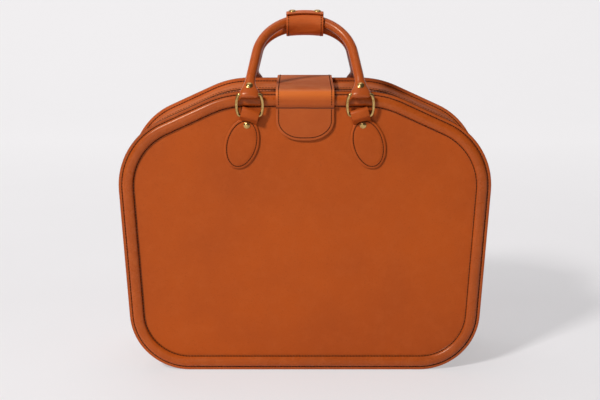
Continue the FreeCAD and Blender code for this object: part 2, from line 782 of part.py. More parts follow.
def slider(up):
    half, wide = SLIDER_LENGTH / 2, SLIDER_HALF_WIDTH
    face = -SLIDER_FACE_INSET
    back = -TEETH_TOP_INSET - TEETH_DEPTH - 0.6
    top = box(face - SLIDER_PLATE, face, -wide, wide, -half, half)
    bottom = box(back - SLIDER_PLATE, back, -wide, wide, -half, half)
    post = box(back - 0.5, face - 1, -SLIDER_POST_HALF, SLIDER_POST_HALF, -half + 1, half - 1)
    body = top.fuse(bottom).fuse(post)
    hinge = slider_hinge(up)
    ear = -PIN_INSET + 1.5 * PIN_RADIUS
    for y in (-3.1, 2.1):
        body = body.fuse(box(face - 0.7, ear, y, y + 1.0, hinge - 1.2, hinge + 1.2))
    return body.fuse(prism(PIN_RADIUS, 10, Vector(-PIN_INSET, -2.6, hinge), Vector(0, 1, 0), 5.2))


def pull(up):
    hinge = slider_hinge(up)
    low, high = -PIN_INSET - PIN_RADIUS, -PIN_INSET + PIN_RADIUS
    eye = prism(1.7, 12, Vector(-PIN_INSET, -1.7, hinge), Vector(0, 1, 0), 3.4)
    stem = box(low, high, -1.7, 1.7, hinge - PULL_LENGTH / 4, hinge)
    grip = box(low, high, -PULL_HALF_WIDTH, PULL_HALF_WIDTH, hinge - PULL_LENGTH, hinge - PULL_LENGTH / 4 + 1)
    hole = prism(PIN_RADIUS + 0.1, 10, Vector(-PIN_INSET, -5, hinge), Vector(0, 1, 0), 10)
    return eye.fuse(stem).fuse(grip).cut(hole)


def on_wall(shape, up):
    z = SLIDER_HEIGHT_Z + up * SLIDER_SPACING / 2
    leaning = turned(shape, Vector(0, 0, 0), Vector(0, 1, 0), wall_slope())
    spot = wall_point(z, 0)
    return moved(leaning, spot.x, 0, spot.z)


def hung_pull(up):
    hinge = Vector(-PIN_INSET, 0, slider_hinge(up))
    return on_wall(turned(pull(up), hinge, Vector(0, 1, 0), -wall_slope()), up)


def build():
    halves = {
        "board": front_board(),
        "rim": front_rim(),
        "gusset": front_gusset(),
        "lining": front_lining(),
        "zip_tape": front_zip_tape(),
        "zip_teeth": front_zip_teeth(),
        "left_chape": left_chape(),
        "left_chape_rivet": left_chape_rivet(),
    }
    halves["right_chape"] = mirrored_x(halves["left_chape"])
    halves["right_chape_rivet"] = mirrored_x(halves["left_chape_rivet"])
    for name, shape in halves.items():
        save("front_" + name, shape)
        save("rear_" + name, mirrored_y(shape))
    save("front_panel", front_panel())
    save("rear_panel", plate(PANEL_INSET, SEAM_Y, PANEL_FACE_Y))
    save("bottom_gusset", bottom_gusset())

    save("front_left_ring", front_left_ring())
    save("front_right_ring", mirrored_x(front_left_ring()))
    save("rear_left_ring", rear_left_ring())
    save("rear_right_ring", mirrored_x(rear_left_ring()))

    plain = riveted_handle()
    save("front_handle", as_front_handle(plain))
    save("rear_handle", as_rear_handle(mirrored_y(plain)))
    front_rivet = as_front_handle(left_handle_rivet())
    rear_rivet = as_rear_handle(mirrored_y(left_handle_rivet()))
    save("front_left_handle_rivet", front_rivet)
    save("front_right_handle_rivet", mirrored_x(front_rivet))
    save("rear_left_handle_rivet", rear_rivet)
    save("rear_right_handle_rivet", mirrored_x(rear_rivet))

    save("wrap_band", wrap_band())
    save("wrap_left_stud", wrap_stud(-SNAP_X))
    save("wrap_right_stud", wrap_stud(SNAP_X))
    save("wrap_tab", wrap_tab())
    save("wrap_left_snap", snap_cap(-SNAP_X))
    save("wrap_right_snap", snap_cap(SNAP_X))

    save("closure_flap", closure_flap())
    save("flap_anchor", flap_anchor())
    save("flap_magnet", flap_magnet())
    save("panel_magnet", panel_magnet())

    save("upper_zip_slider", on_wall(slider(1), 1))
    save("lower_zip_slider", on_wall(slider(-1), -1))
    save("upper_zip_pull", hung_pull(1))
    save("lower_zip_pull", hung_pull(-1))


build()
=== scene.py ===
"""Leather suitcase with twin rolled handles: the visual model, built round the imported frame."""

from __future__ import annotations

import logging
import math
from dataclasses import dataclass, field, replace
from enum import Enum
from typing import Callable, Sequence

import bpy
from mathutils import Matrix, Vector

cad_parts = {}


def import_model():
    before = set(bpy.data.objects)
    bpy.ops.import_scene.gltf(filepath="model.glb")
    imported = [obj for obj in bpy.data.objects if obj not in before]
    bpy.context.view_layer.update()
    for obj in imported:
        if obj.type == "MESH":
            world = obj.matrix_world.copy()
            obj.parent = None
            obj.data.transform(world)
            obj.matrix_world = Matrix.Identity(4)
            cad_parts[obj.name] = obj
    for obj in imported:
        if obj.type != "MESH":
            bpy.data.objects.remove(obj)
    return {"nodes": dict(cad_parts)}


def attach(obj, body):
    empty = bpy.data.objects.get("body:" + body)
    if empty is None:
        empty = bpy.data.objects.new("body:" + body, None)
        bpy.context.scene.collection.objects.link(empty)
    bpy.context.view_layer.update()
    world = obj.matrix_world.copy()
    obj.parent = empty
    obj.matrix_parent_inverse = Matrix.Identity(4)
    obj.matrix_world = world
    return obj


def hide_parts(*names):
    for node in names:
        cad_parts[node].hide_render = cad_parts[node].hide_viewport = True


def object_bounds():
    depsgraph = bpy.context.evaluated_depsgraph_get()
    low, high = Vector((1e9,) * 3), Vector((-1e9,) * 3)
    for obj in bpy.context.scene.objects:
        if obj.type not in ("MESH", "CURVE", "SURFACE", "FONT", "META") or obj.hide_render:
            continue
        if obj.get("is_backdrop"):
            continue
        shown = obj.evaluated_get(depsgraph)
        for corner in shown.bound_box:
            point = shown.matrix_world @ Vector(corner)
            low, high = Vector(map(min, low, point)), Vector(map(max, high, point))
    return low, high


Colour = tuple[int, int, int]
Profile = tuple[tuple[float, float], ...]

LOG = logging.getLogger("suitcase")
MIDDLE_Y = -0.0043
WELD = 2e-6


class Plane(Enum):
    """Planes that a path is drawn in, as the directions of its two axes."""

    FRONT = ((1, 0, 0), (0, 0, 1))
    SIDE = ((0, 1, 0), (0, 0, 1))
    FLAT = ((1, 0, 0), (0, 1, 0))

    def point(self, u: float, v: float, depth: float = 0.0) -> Vector:
        """Gives the place of a drawn point.

        Args:
            u: Distance along the plane's first axis.
            v: Distance along the plane's second axis.
            depth: Distance along the plane's normal.

        Returns:
            The point in space.
        """
        first, second = Vector(self.value[0]), Vector(self.value[1])
        return first * u + second * v + self.normal() * depth

    def normal(self) -> Vector:
        """Gives the direction that the plane faces."""
        return Vector(self.value[0]).cross(Vector(self.value[1]))


class Side(Enum):
    """The two halves of the case."""

    FRONT = "front"
    REAR = "rear"

    def matrix(self) -> Matrix:
        """Gives the turn that carries a piece made for the front to this half."""
        shift = Matrix.Translation((0.0, MIDDLE_Y, 0.0))
        return shift @ Matrix.Rotation(math.pi, 4, "Z") if self is Side.REAR else shift

    def body(self) -> str:
        """Gives the name of the half's body."""
        return f"{self.value}_half"

    def hand(self, across: int) -> str:
        """Names the hand of a piece.

        Args:
            across: -1 for the left as built, 1 for the right as built.

        Returns:
            "left" or "right", as seen from the front of the case.
        """
        seen = across if self is Side.FRONT else -across
        return "left" if seen < 0 else "right"


@dataclass(frozen=True)
class Run:
    """One stretch of a path: a straight move, or a turn about a centre."""

    move: tuple[float, float] | None = None
    centre: tuple[float, float] = (0.0, 0.0)
    angle: float = 0.0
    steps: int = 1

    def length_from(self, start: tuple[float, float]) -> float:
        """Gives the stretch's length when it begins at a point.

        Args:
            start: The point.

        Returns:
            The length.
        """
        if self.move is not None:
            return math.hypot(*self.move)
        return abs(self.angle) * math.dist(start, self.centre)

    def end_from(self, start: tuple[float, float]) -> tuple[float, float]:
        """Gives the point where the stretch ends when it begins at another.

        Args:
            start: The point where it begins.

        Returns:
            The end.
        """
        if self.move is not None:
            return start[0] + self.move[0], start[1] + self.move[1]
        u, v = start[0] - self.centre[0], start[1] - self.centre[1]
        c, s = math.cos(self.angle), math.sin(self.angle)
        return self.centre[0] + u * c - v * s, self.centre[1] + u * s + v * c


@dataclass
class Path:
    """A line of straight and curved stretches in one plane."""

    start: tuple[float, float]
    runs: list[Run] = field(default_factory=list)
    closed: bool = False

    def end(self) -> tuple[float, float]:
        """Gives the point that the path has reached."""
        place = self.start
        for run in self.runs:
            place = run.end_from(place)
        return place

    def to(self, u: float, v: float, pieces: int = 1) -> Path:
        """Adds a straight stretch.

        Args:
            u: Where it ends, along the first axis.
            v: Where it ends, along the second axis.
            pieces: Number of equal edges in it.

        Returns:
            The path itself.
        """
        at = self.end()
        step = ((u - at[0]) / pieces, (v - at[1]) / pieces)
        self.runs += [Run(move=step)] * pieces
        return self

    def round(self, centre: tuple[float, float], degrees: float, steps: int) -> Path:
        """Adds a turn, counter-clockwise where the angle is positive.

        Args:
            centre: Centre of the turn.
            degrees: Angle of the turn.
            steps: Number of edges in it.

        Returns:
            The path itself.
        """
        self.runs.append(Run(centre=centre, angle=math.radians(degrees), steps=steps))
        return self

    def length(self) -> float:
        """Gives the length of the whole path."""
        total, place = 0.0, self.start
        for run in self.runs:
            total += run.length_from(place)
            place = run.end_from(place)
        return total


class Bench:
    """The hand operations that every piece is made with."""

    @staticmethod
    def clear() -> None:
        """Leaves edit mode and deselects everything."""
        if bpy.context.object is not None and bpy.context.object.mode != "OBJECT":
            bpy.ops.object.mode_set(mode="OBJECT")
        bpy.ops.object.select_all(action="DESELECT")

    @staticmethod
    def pick(obj: bpy.types.Object) -> None:
        """Makes one object the only selected one.

        Args:
            obj: The object to pick.
        """
        Bench.clear()
        obj.select_set(True)
        bpy.context.view_layer.objects.active = obj

    @staticmethod
    def name(label: str) -> bpy.types.Object:
        """Names the object in hand, applies its place to its mesh and returns it.

        Args:
            label: The name.

        Returns:
            The object.
        """
        obj = bpy.context.object
        obj.name = label
        obj.data.name = label
        bpy.ops.object.transform_apply(location=True, rotation=True, scale=True)
        return obj

    @staticmethod
    def edit(obj: bpy.types.Object, everything: bool = True) -> None:
        """Opens an object for editing, with all or none of it selected.

        Args:
            obj: The object to open.
            everything: Whether all of it is selected.
        """
        Bench.pick(obj)
        bpy.ops.object.mode_set(mode="EDIT")
        bpy.ops.mesh.select_mode(type="VERT")
        bpy.ops.mesh.select_all(action="SELECT" if everything else "DESELECT")

    @staticmethod
    def choose_points(obj: bpy.types.Object, test: Callable[[Vector], bool]) -> None:
        """Selects the points whose place passes a test, and opens the object.

        Args:
            obj: The object to work on.
            test: Says whether a place is wanted.
        """
        Bench.edit(obj, everything=False)
        bpy.ops.object.mode_set(mode="OBJECT")
        for vertex in obj.data.vertices:
            vertex.select = test(vertex.co)
        bpy.ops.object.mode_set(mode="EDIT")

    @staticmethod
    def choose_faces(obj: bpy.types.Object, test: Callable[[Vector, Vector], bool]) -> None:
        """Selects the faces whose centre and normal pass a test, and opens the object.

        Args:
            obj: The object to work on.
            test: Says whether a face is wanted.
        """
        Bench.edit(obj, everything=False)
        bpy.ops.mesh.select_mode(type="FACE")
        bpy.ops.object.mode_set(mode="OBJECT")
        for face in obj.data.polygons:
            face.select = test(face.center, face.normal)
        bpy.ops.object.mode_set(mode="EDIT")

    @staticmethod
    def draw(label: str, path: Path, plane: Plane, depth: float = 0.0) -> bpy.types.Object:
        """Draws a path as a chain of edges, and leaves it open for editing.

        Args:
            label: Name of the new object.
            path: The path to follow.
            plane: Plane that it lies in.
            depth: Distance along the plane's normal.

        Returns:
            The new object, with all its edges selected.
        """
        Bench.clear()
        bpy.ops.mesh.primitive_plane_add(size=0.002, location=plane.point(*path.start, depth))
        obj = Bench.name(label)
        Bench.edit(obj)
        bpy.ops.mesh.merge(type="CENTER")
        for run in path.runs:
            if run.move is not None:
                Bench.pull_points(plane.point(*run.move))
            else:
                Bench.spin(plane.point(*run.centre, depth), plane.normal(), run.angle, run.steps)
        bpy.ops.mesh.select_all(action="SELECT")
        if path.closed:
            bpy.ops.mesh.remove_doubles(threshold=WELD)
        return obj

    @staticmethod
    def pull_points(move: Vector) -> None:
        """Extrudes the selected points."""
        bpy.ops.mesh.extrude_vertices_move(TRANSFORM_OT_translate={"value": tuple(move)})

    @staticmethod
    def pull_edges(move: Vector) -> None:
        """Extrudes the selected edges."""
        bpy.ops.mesh.extrude_edges_move(TRANSFORM_OT_translate={"value": tuple(move)})

    @staticmethod
    def pull_faces(move: Vector) -> None:
        """Extrudes the selected faces."""
        bpy.ops.mesh.extrude_region_move(TRANSFORM_OT_translate={"value": tuple(move)})

    @staticmethod
    def spin(centre: Vector, axis: Vector, angle: float, steps: int) -> None:
        """Spins what is selected, by the right-hand rule about the axis."""
        bpy.ops.mesh.spin(steps=steps, angle=-angle, center=tuple(centre), axis=tuple(axis))

    @staticmethod
    def stretch(scale: tuple[float, float, float], about: Vector) -> None:
        """Scales what is selected about a point."""
        bpy.ops.transform.resize(value=scale, center_override=tuple(about))

    @staticmethod
    def inset(steps: Sequence[tuple[float, float]]) -> None:
        """Insets the selected faces again and again.

        Args:
            steps: Width and rise of each inset, in millimetres.
        """
        for width, rise in steps:
            bpy.ops.mesh.inset(thickness=width / 1000, depth=rise / 1000)

    @staticmethod
    def seal(cap: bool = True) -> None:
        """Merges doubles, closes open ends and turns the faces outwards.

        Args:
            cap: Whether open ends are closed.
        """
        bpy.ops.mesh.select_all(action="SELECT")
        bpy.ops.mesh.remove_doubles(threshold=WELD)
        if cap:
            bpy.ops.mesh.fill_holes(sides=0)
        bpy.ops.mesh.select_all(action="SELECT")
        bpy.ops.mesh.normals_make_consistent(inside=False)
        bpy.ops.object.mode_set(mode="OBJECT")

    @staticmethod
    def sweep(label: str, profile: Sequence[tuple[float, float]], path: Path) -> bpy.types.Object:
        """Carries a closed profile along a path in the front plane.

        Args:
            label: Name of the new object.
            profile: Corners as inset from the path and distance in front of it, in millimetres.
            path: The path, which sets out along X.

        Returns:
            The new solid object.
        """
        x, z = path.start
        corners = [(-depth / 1000, z + inset / 1000) for inset, depth in profile]
        loop = Path(corners[0], closed=True)
        for corner in corners[1:] + corners[:1]:
            loop.to(*corner)
        obj = Bench.draw(label, loop, Plane.SIDE, x)
        for run in path.runs:
            if run.move is not None:
                Bench.pull_edges(Plane.FRONT.point(*run.move))
            else:
                centre = Plane.FRONT.point(*run.centre)
                Bench.spin(centre, Plane.FRONT.normal(), run.angle, run.steps)
        Bench.seal(cap=not path.closed)
        return obj

    @staticmethod
    def plate(label: str, path: Path, plane: Plane, depth: float, thickness: float) -> bpy.types.Object:
        """Fills a closed path and gives it thickness along the plane's normal.

        Args:
            label: Name of the new object.
            path: Closed outline.
            plane: Plane of the outline.
            depth: Where the plate begins along the normal.
            thickness: How far it rises, in metres.

        Returns:
            The new object, open for editing with its raised face selected.
        """
        obj = Bench.draw(label, path, plane, depth)
        bpy.ops.mesh.edge_face_add()
        Bench.pull_faces(plane.normal() * thickness)
        Bench.seal(cap=True)
        level = depth + thickness
        normal = plane.normal()
        Bench.choose_faces(obj, lambda at, out: abs(at.dot(normal) - level) < 1e-6 and out.dot(normal) > 0.9)
        return obj

    @staticmethod
    def lathe(label: str, profile: Sequence[tuple[float, float]], steps: int) -> bpy.types.Object:
        """Turns a profile about the Y axis, rising towards the viewer at the front.

        Args:
            label: Name of the new object.
            profile: Radius and height of each corner, in millimetres.
            steps: Number of sides.

        Returns:
            The new closed object.
        """
        line = Path((profile[0][0] / 1000, -profile[0][1] / 1000))
        for radius, height in profile[1:]:
            line.to(radius / 1000, -height / 1000)
        obj = Bench.draw(label, line, Plane.FLAT)
        Bench.spin(Vector((0, 0, 0)), Vector((0, 1, 0)), 2 * math.pi, steps)
        Bench.seal(cap=True)
        return obj

    @staticmethod
    def wire(label: str, path: Path, plane: Plane, radius: float) -> bpy.types.Object:
        """Makes round wire along a path.

        Args:
            label: Name of the new object.
            path: Centre line.
            plane: Plane of the path.
            radius: Radius of the wire, in metres.

        Returns:
            The new mesh object.
        """
        obj = Bench.draw(label, path, plane)
        Bench.pick(obj)
        bpy.ops.object.convert(target="CURVE")
        curve = bpy.context.object
        curve.data.bevel_depth = radius
        curve.data.bevel_resolution = 4
        bpy.ops.object.convert(target="MESH")
        return bpy.context.object

    @staticmethod
    def block(label: str, low: Vector, high: Vector, bevel: float) -> bpy.types.Object:
        """Makes a block with rounded edges.

        Args:
            label: Name of the new object.
            low: Lowest corner.
            high: Highest corner.
            bevel: Width of the rounding, in metres.

        Returns:
            The new object.
        """
        Bench.clear()
        bpy.ops.mesh.primitive_cube_add(size=1, location=(low + high) / 2, scale=high - low)
        obj = Bench.name(label)
        Bench.edit(obj)
        bpy.ops.mesh.bevel(offset=bevel, segments=2, affect="EDGES")
        bpy.ops.object.mode_set(mode="OBJECT")
        return obj

    @staticmethod
    def join(pieces: Sequence[bpy.types.Object]) -> bpy.types.Object:
        """Joins objects into the first one.

        Args:
            pieces: The objects.

        Returns:
            The first object, which now holds them all.
        """
        Bench.clear()
        for piece in pieces:
            piece.select_set(True)
        bpy.context.view_layer.objects.active = pieces[0]
        bpy.ops.object.join()
        return pieces[0]

    @staticmethod
    def copy(obj: bpy.types.Object, label: str) -> bpy.types.Object:
        """Copies an object with a mesh of its own.

        Args:
            obj: The object to copy.
            label: Name of the copy.

        Returns:
            The copy.
        """
        Bench.pick(obj)
        bpy.ops.object.duplicate(linked=False)
        twin = bpy.context.object
        twin.name = label
        twin.data.name = label
        return twin

    @staticmethod
    def place(obj: bpy.types.Object, matrix: Matrix) -> bpy.types.Object:
        """Moves an object and applies the move to its mesh.

        Args:
            obj: The object to move.
            matrix: Its new place.

        Returns:
            The object.
        """
        Bench.pick(obj)
        obj.matrix_world = matrix
        bpy.ops.object.transform_apply(location=True, rotation=True, scale=True)
        return obj

    @staticmethod
    def modify(obj: bpy.types.Object, kind: str, **settings: object) -> None:
        """Adds a modifier and applies it.

        Args:
            obj: The object to work on.
            kind: Type of the modifier.
            **settings: The modifier's values.
        """
        Bench.pick(obj)
        modifier = obj.modifiers.new(kind.lower(), kind)
        for key, value in settings.items():
            setattr(modifier, key, value)
        bpy.ops.object.modifier_apply(modifier=modifier.name)

    @staticmethod
    def soften(obj: bpy.types.Object, width: float, segments: int = 2, degrees: float = 40) -> None:
        """Rounds an object's sharp edges.

        Args:
            obj: The object to work on.
            width: Width of the rounding, in metres.
            segments: Number of strips in it.
            degrees: Smallest angle that counts as sharp.
        """
        Bench.modify(
            obj, "BEVEL", width=width, segments=segments, limit_method="ANGLE",
            angle_limit=math.radians(degrees), use_clamp_overlap=True,
        )

    @staticmethod
    def paint(obj: bpy.types.Object, *finishes: bpy.types.Material) -> None:
        """Gives an object its finishes, the first of them all over.

        Args:
            obj: The object to paint.
            *finishes: The materials.
        """
        obj.data.materials.clear()
        for finish in finishes:
            obj.data.materials.append(finish)

    @staticmethod
    def paint_faces(obj: bpy.types.Object, index: int, test: Callable[[Vector, Vector], bool]) -> None:
        """Gives chosen faces another of the object's finishes.

        Args:
            obj: The object to work on.
            index: Number of the finish.
            test: Says whether a face with that centre and normal is wanted.
        """
        for face in obj.data.polygons:
            if test(face.center, face.normal):
                face.material_index = index

    @staticmethod
    def finish(obj: bpy.types.Object, body: str, slot: str, *nodes: str, smooth: float = 35) -> bpy.types.Object:
        """Smooths a piece, hangs it on its body and reports it.

        Args:
            obj: The finished piece.
            body: Body that it moves with.
            slot: Material slot of the record that its finish belongs to; not used.
            *nodes: Solids that it stands for.
            smooth: Angle in degrees up to which its faces shade smoothly.

        Returns:
            The piece.
        """
        Bench.pick(obj)
        bpy.ops.object.shade_smooth_by_angle(angle=math.radians(smooth))
        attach(obj, body)
        if nodes:
            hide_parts(*nodes)
        LOG.info("%s on %s, %d faces", obj.name, body, len(obj.data.polygons))
        return obj


def linear(red: int, green: int, blue: int) -> tuple[float, float, float, float]:
    """Turns a screen colour into the shader's linear one.

    Args:
        red: Red from 0 to 255.
        green: Green from 0 to 255.
        blue: Blue from 0 to 255.

    Returns:
        The colour with full alpha.
    """
    parts = []
    for value in (red / 255, green / 255, blue / 255):
        parts.append(value / 12.92 if value <= 0.04045 else ((value + 0.055) / 1.055) ** 2.4)
    return parts[0], parts[1], parts[2], 1.0


class Mixer:
    """Lays out the nodes of one material."""

    def __init__(self, label: str) -> None:
        """Starts a material with a plain shader.

        Args:
            label: Name of the material.
        """
        self.material = bpy.data.materials.new(label)
        self.material.use_nodes = True
        self.tree = self.material.node_tree
        self.shader = self.tree.nodes["Principled BSDF"]
        self.coords = self.node("ShaderNodeTexCoord").outputs["Object"]

    def node(self, kind: str, **values: object) -> bpy.types.Node:
        """Adds a node.

        Args:
            kind: Type of the node.
            **values: Settings of the node.

        Returns:
            The new node.
        """
        node = self.tree.nodes.new(kind)
        for key, value in values.items():
            setattr(node, key, value)
        return node

    def link(self, source: bpy.types.NodeSocket, target: bpy.types.NodeSocket) -> None:
        """Joins an output to an input."""
        self.tree.links.new(source, target)

    def stretched(self, scale: tuple[float, float, float]) -> bpy.types.NodeSocket:
        """Gives the object's coordinates with each axis scaled.

        Args:
            scale: Factor along each axis.

        Returns:
            The scaled coordinates.
        """
        mapping = self.node("ShaderNodeMapping")
        mapping.inputs["Scale"].default_value = scale
        self.link(self.coords, mapping.inputs["Vector"])
        return mapping.outputs["Vector"]

    def noise(
        self, scale: float, detail: float = 3.0, rough: float = 0.5, coords: bpy.types.NodeSocket | None = None
    ) -> bpy.types.NodeSocket:
        """Adds cloudy noise.

        Args:
            scale: Features per metre.
            detail: Octaves.
            rough: Weight of the small features.
            coords: Coordinates to read, or None for the object's.

        Returns:
            The value from 0 to 1.
        """
        node = self.node("ShaderNodeTexNoise")
        node.inputs["Scale"].default_value = scale
        node.inputs["Detail"].default_value = detail
        node.inputs["Roughness"].default_value = rough
        self.link(coords or self.coords, node.inputs["Vector"])
        return node.outputs["Fac"]

    def cells(self, scale: float) -> bpy.types.NodeSocket:
        """Adds the pebbles of a leather grain, and gives the distance from each one's middle.

        Args:
            scale: Pebbles per metre.

        Returns:
            The distance.
        """
        node = self.node("ShaderNodeTexVoronoi")
        node.inputs["Scale"].default_value = scale
        self.link(self.coords, node.inputs["Vector"])
        return node.outputs["Distance"]

    def wave(self, scale: float, axis: str, warp: float = 0.0) -> bpy.types.NodeSocket:
        """Adds parallel ridges across one axis.

        Args:
            scale: Ridges per metre, roughly.
            axis: Direction that they follow one another in.
            warp: How far they wander.

        Returns:
            The value from 0 to 1.
        """
        node = self.node("ShaderNodeTexWave", bands_direction=axis)
        node.inputs["Scale"].default_value = scale
        node.inputs["Distortion"].default_value = warp
        self.link(self.coords, node.inputs["Vector"])
        return node.outputs["Fac"]

    def spread(
        self, value: bpy.types.NodeSocket, low: float, high: float, to: tuple[float, float]
    ) -> bpy.types.NodeSocket:
        """Maps a range of values to another, held at its ends.

        Args:
            value: The value to map.
            low: Value that maps to the first end.
            high: Value that maps to the second end.
            to: The two ends.

        Returns:
            The mapped value.
        """
        node = self.node("ShaderNodeMapRange", clamp=True)
        node.inputs["From Min"].default_value = low
        node.inputs["From Max"].default_value = high
        node.inputs["To Min"].default_value = to[0]
        node.inputs["To Max"].default_value = to[1]
        self.link(value, node.inputs["Value"])
        return node.outputs["Result"]

    def math(self, kind: str, a: bpy.types.NodeSocket, b: bpy.types.NodeSocket | float) -> bpy.types.NodeSocket:
        """Combines two values.

        Args:
            kind: The operation.
            a: First value.
            b: Second value, a socket or a number.

        Returns:
            The result.
        """
        node = self.node("ShaderNodeMath", operation=kind)
        self.link(a, node.inputs[0])
        if isinstance(b, float):
            node.inputs[1].default_value = b
        else:
            self.link(b, node.inputs[1])
        return node.outputs[0]

    def blend(
        self,
        amount: bpy.types.NodeSocket,
        first: bpy.types.NodeSocket | tuple[float, float, float, float],
        second: bpy.types.NodeSocket | tuple[float, float, float, float],
    ) -> bpy.types.NodeSocket:
        """Mixes two colours by a value.

        Args:
            amount: Share of the second colour.
            first: First colour.
            second: Second colour.

        Returns:
            The mixed colour.
        """
        node = self.node("ShaderNodeMix", data_type="RGBA")
        self.link(amount, node.inputs["Factor"])
        for socket, colour in ((node.inputs[6], first), (node.inputs[7], second)):
            if isinstance(colour, tuple):
                socket.default_value = colour
            else:
                self.link(colour, socket)
        return node.outputs[2]

    def bump(
        self, height: bpy.types.NodeSocket, strength: float, distance: float, under: bpy.types.NodeSocket | None = None
    ) -> bpy.types.NodeSocket:
        """Turns a height into a surface normal, on top of another one where given.

        Args:
            height: The height.
            strength: Share of it that counts.
            distance: Rise of a full height, in metres.
            under: Normal that it is laid on.

        Returns:
            The new normal.
        """
        node = self.node("ShaderNodeBump")
        node.inputs["Strength"].default_value = strength
        node.inputs["Distance"].default_value = distance
        self.link(height, node.inputs["Height"])
        if under is not None:
            self.link(under, node.inputs["Normal"])
        return node.outputs["Normal"]

    def axis(self, index: int) -> bpy.types.NodeSocket:
        """Gives one of the object's coordinates.

        Args:
            index: 0 for X, 1 for Y, 2 for Z.

        Returns:
            The coordinate.
        """
        node = self.node("ShaderNodeSeparateXYZ")
        self.link(self.coords, node.inputs[0])
        return node.outputs[index]

    def feed(self, name: str, value: object) -> None:
        """Sets an input of the shader, or links it.

        Args:
            name: The input.
            value: A plain value, or the socket to link.
        """
        socket = self.shader.inputs[name]
        if isinstance(value, bpy.types.NodeSocket):
            self.link(value, socket)
        else:
            socket.default_value = value


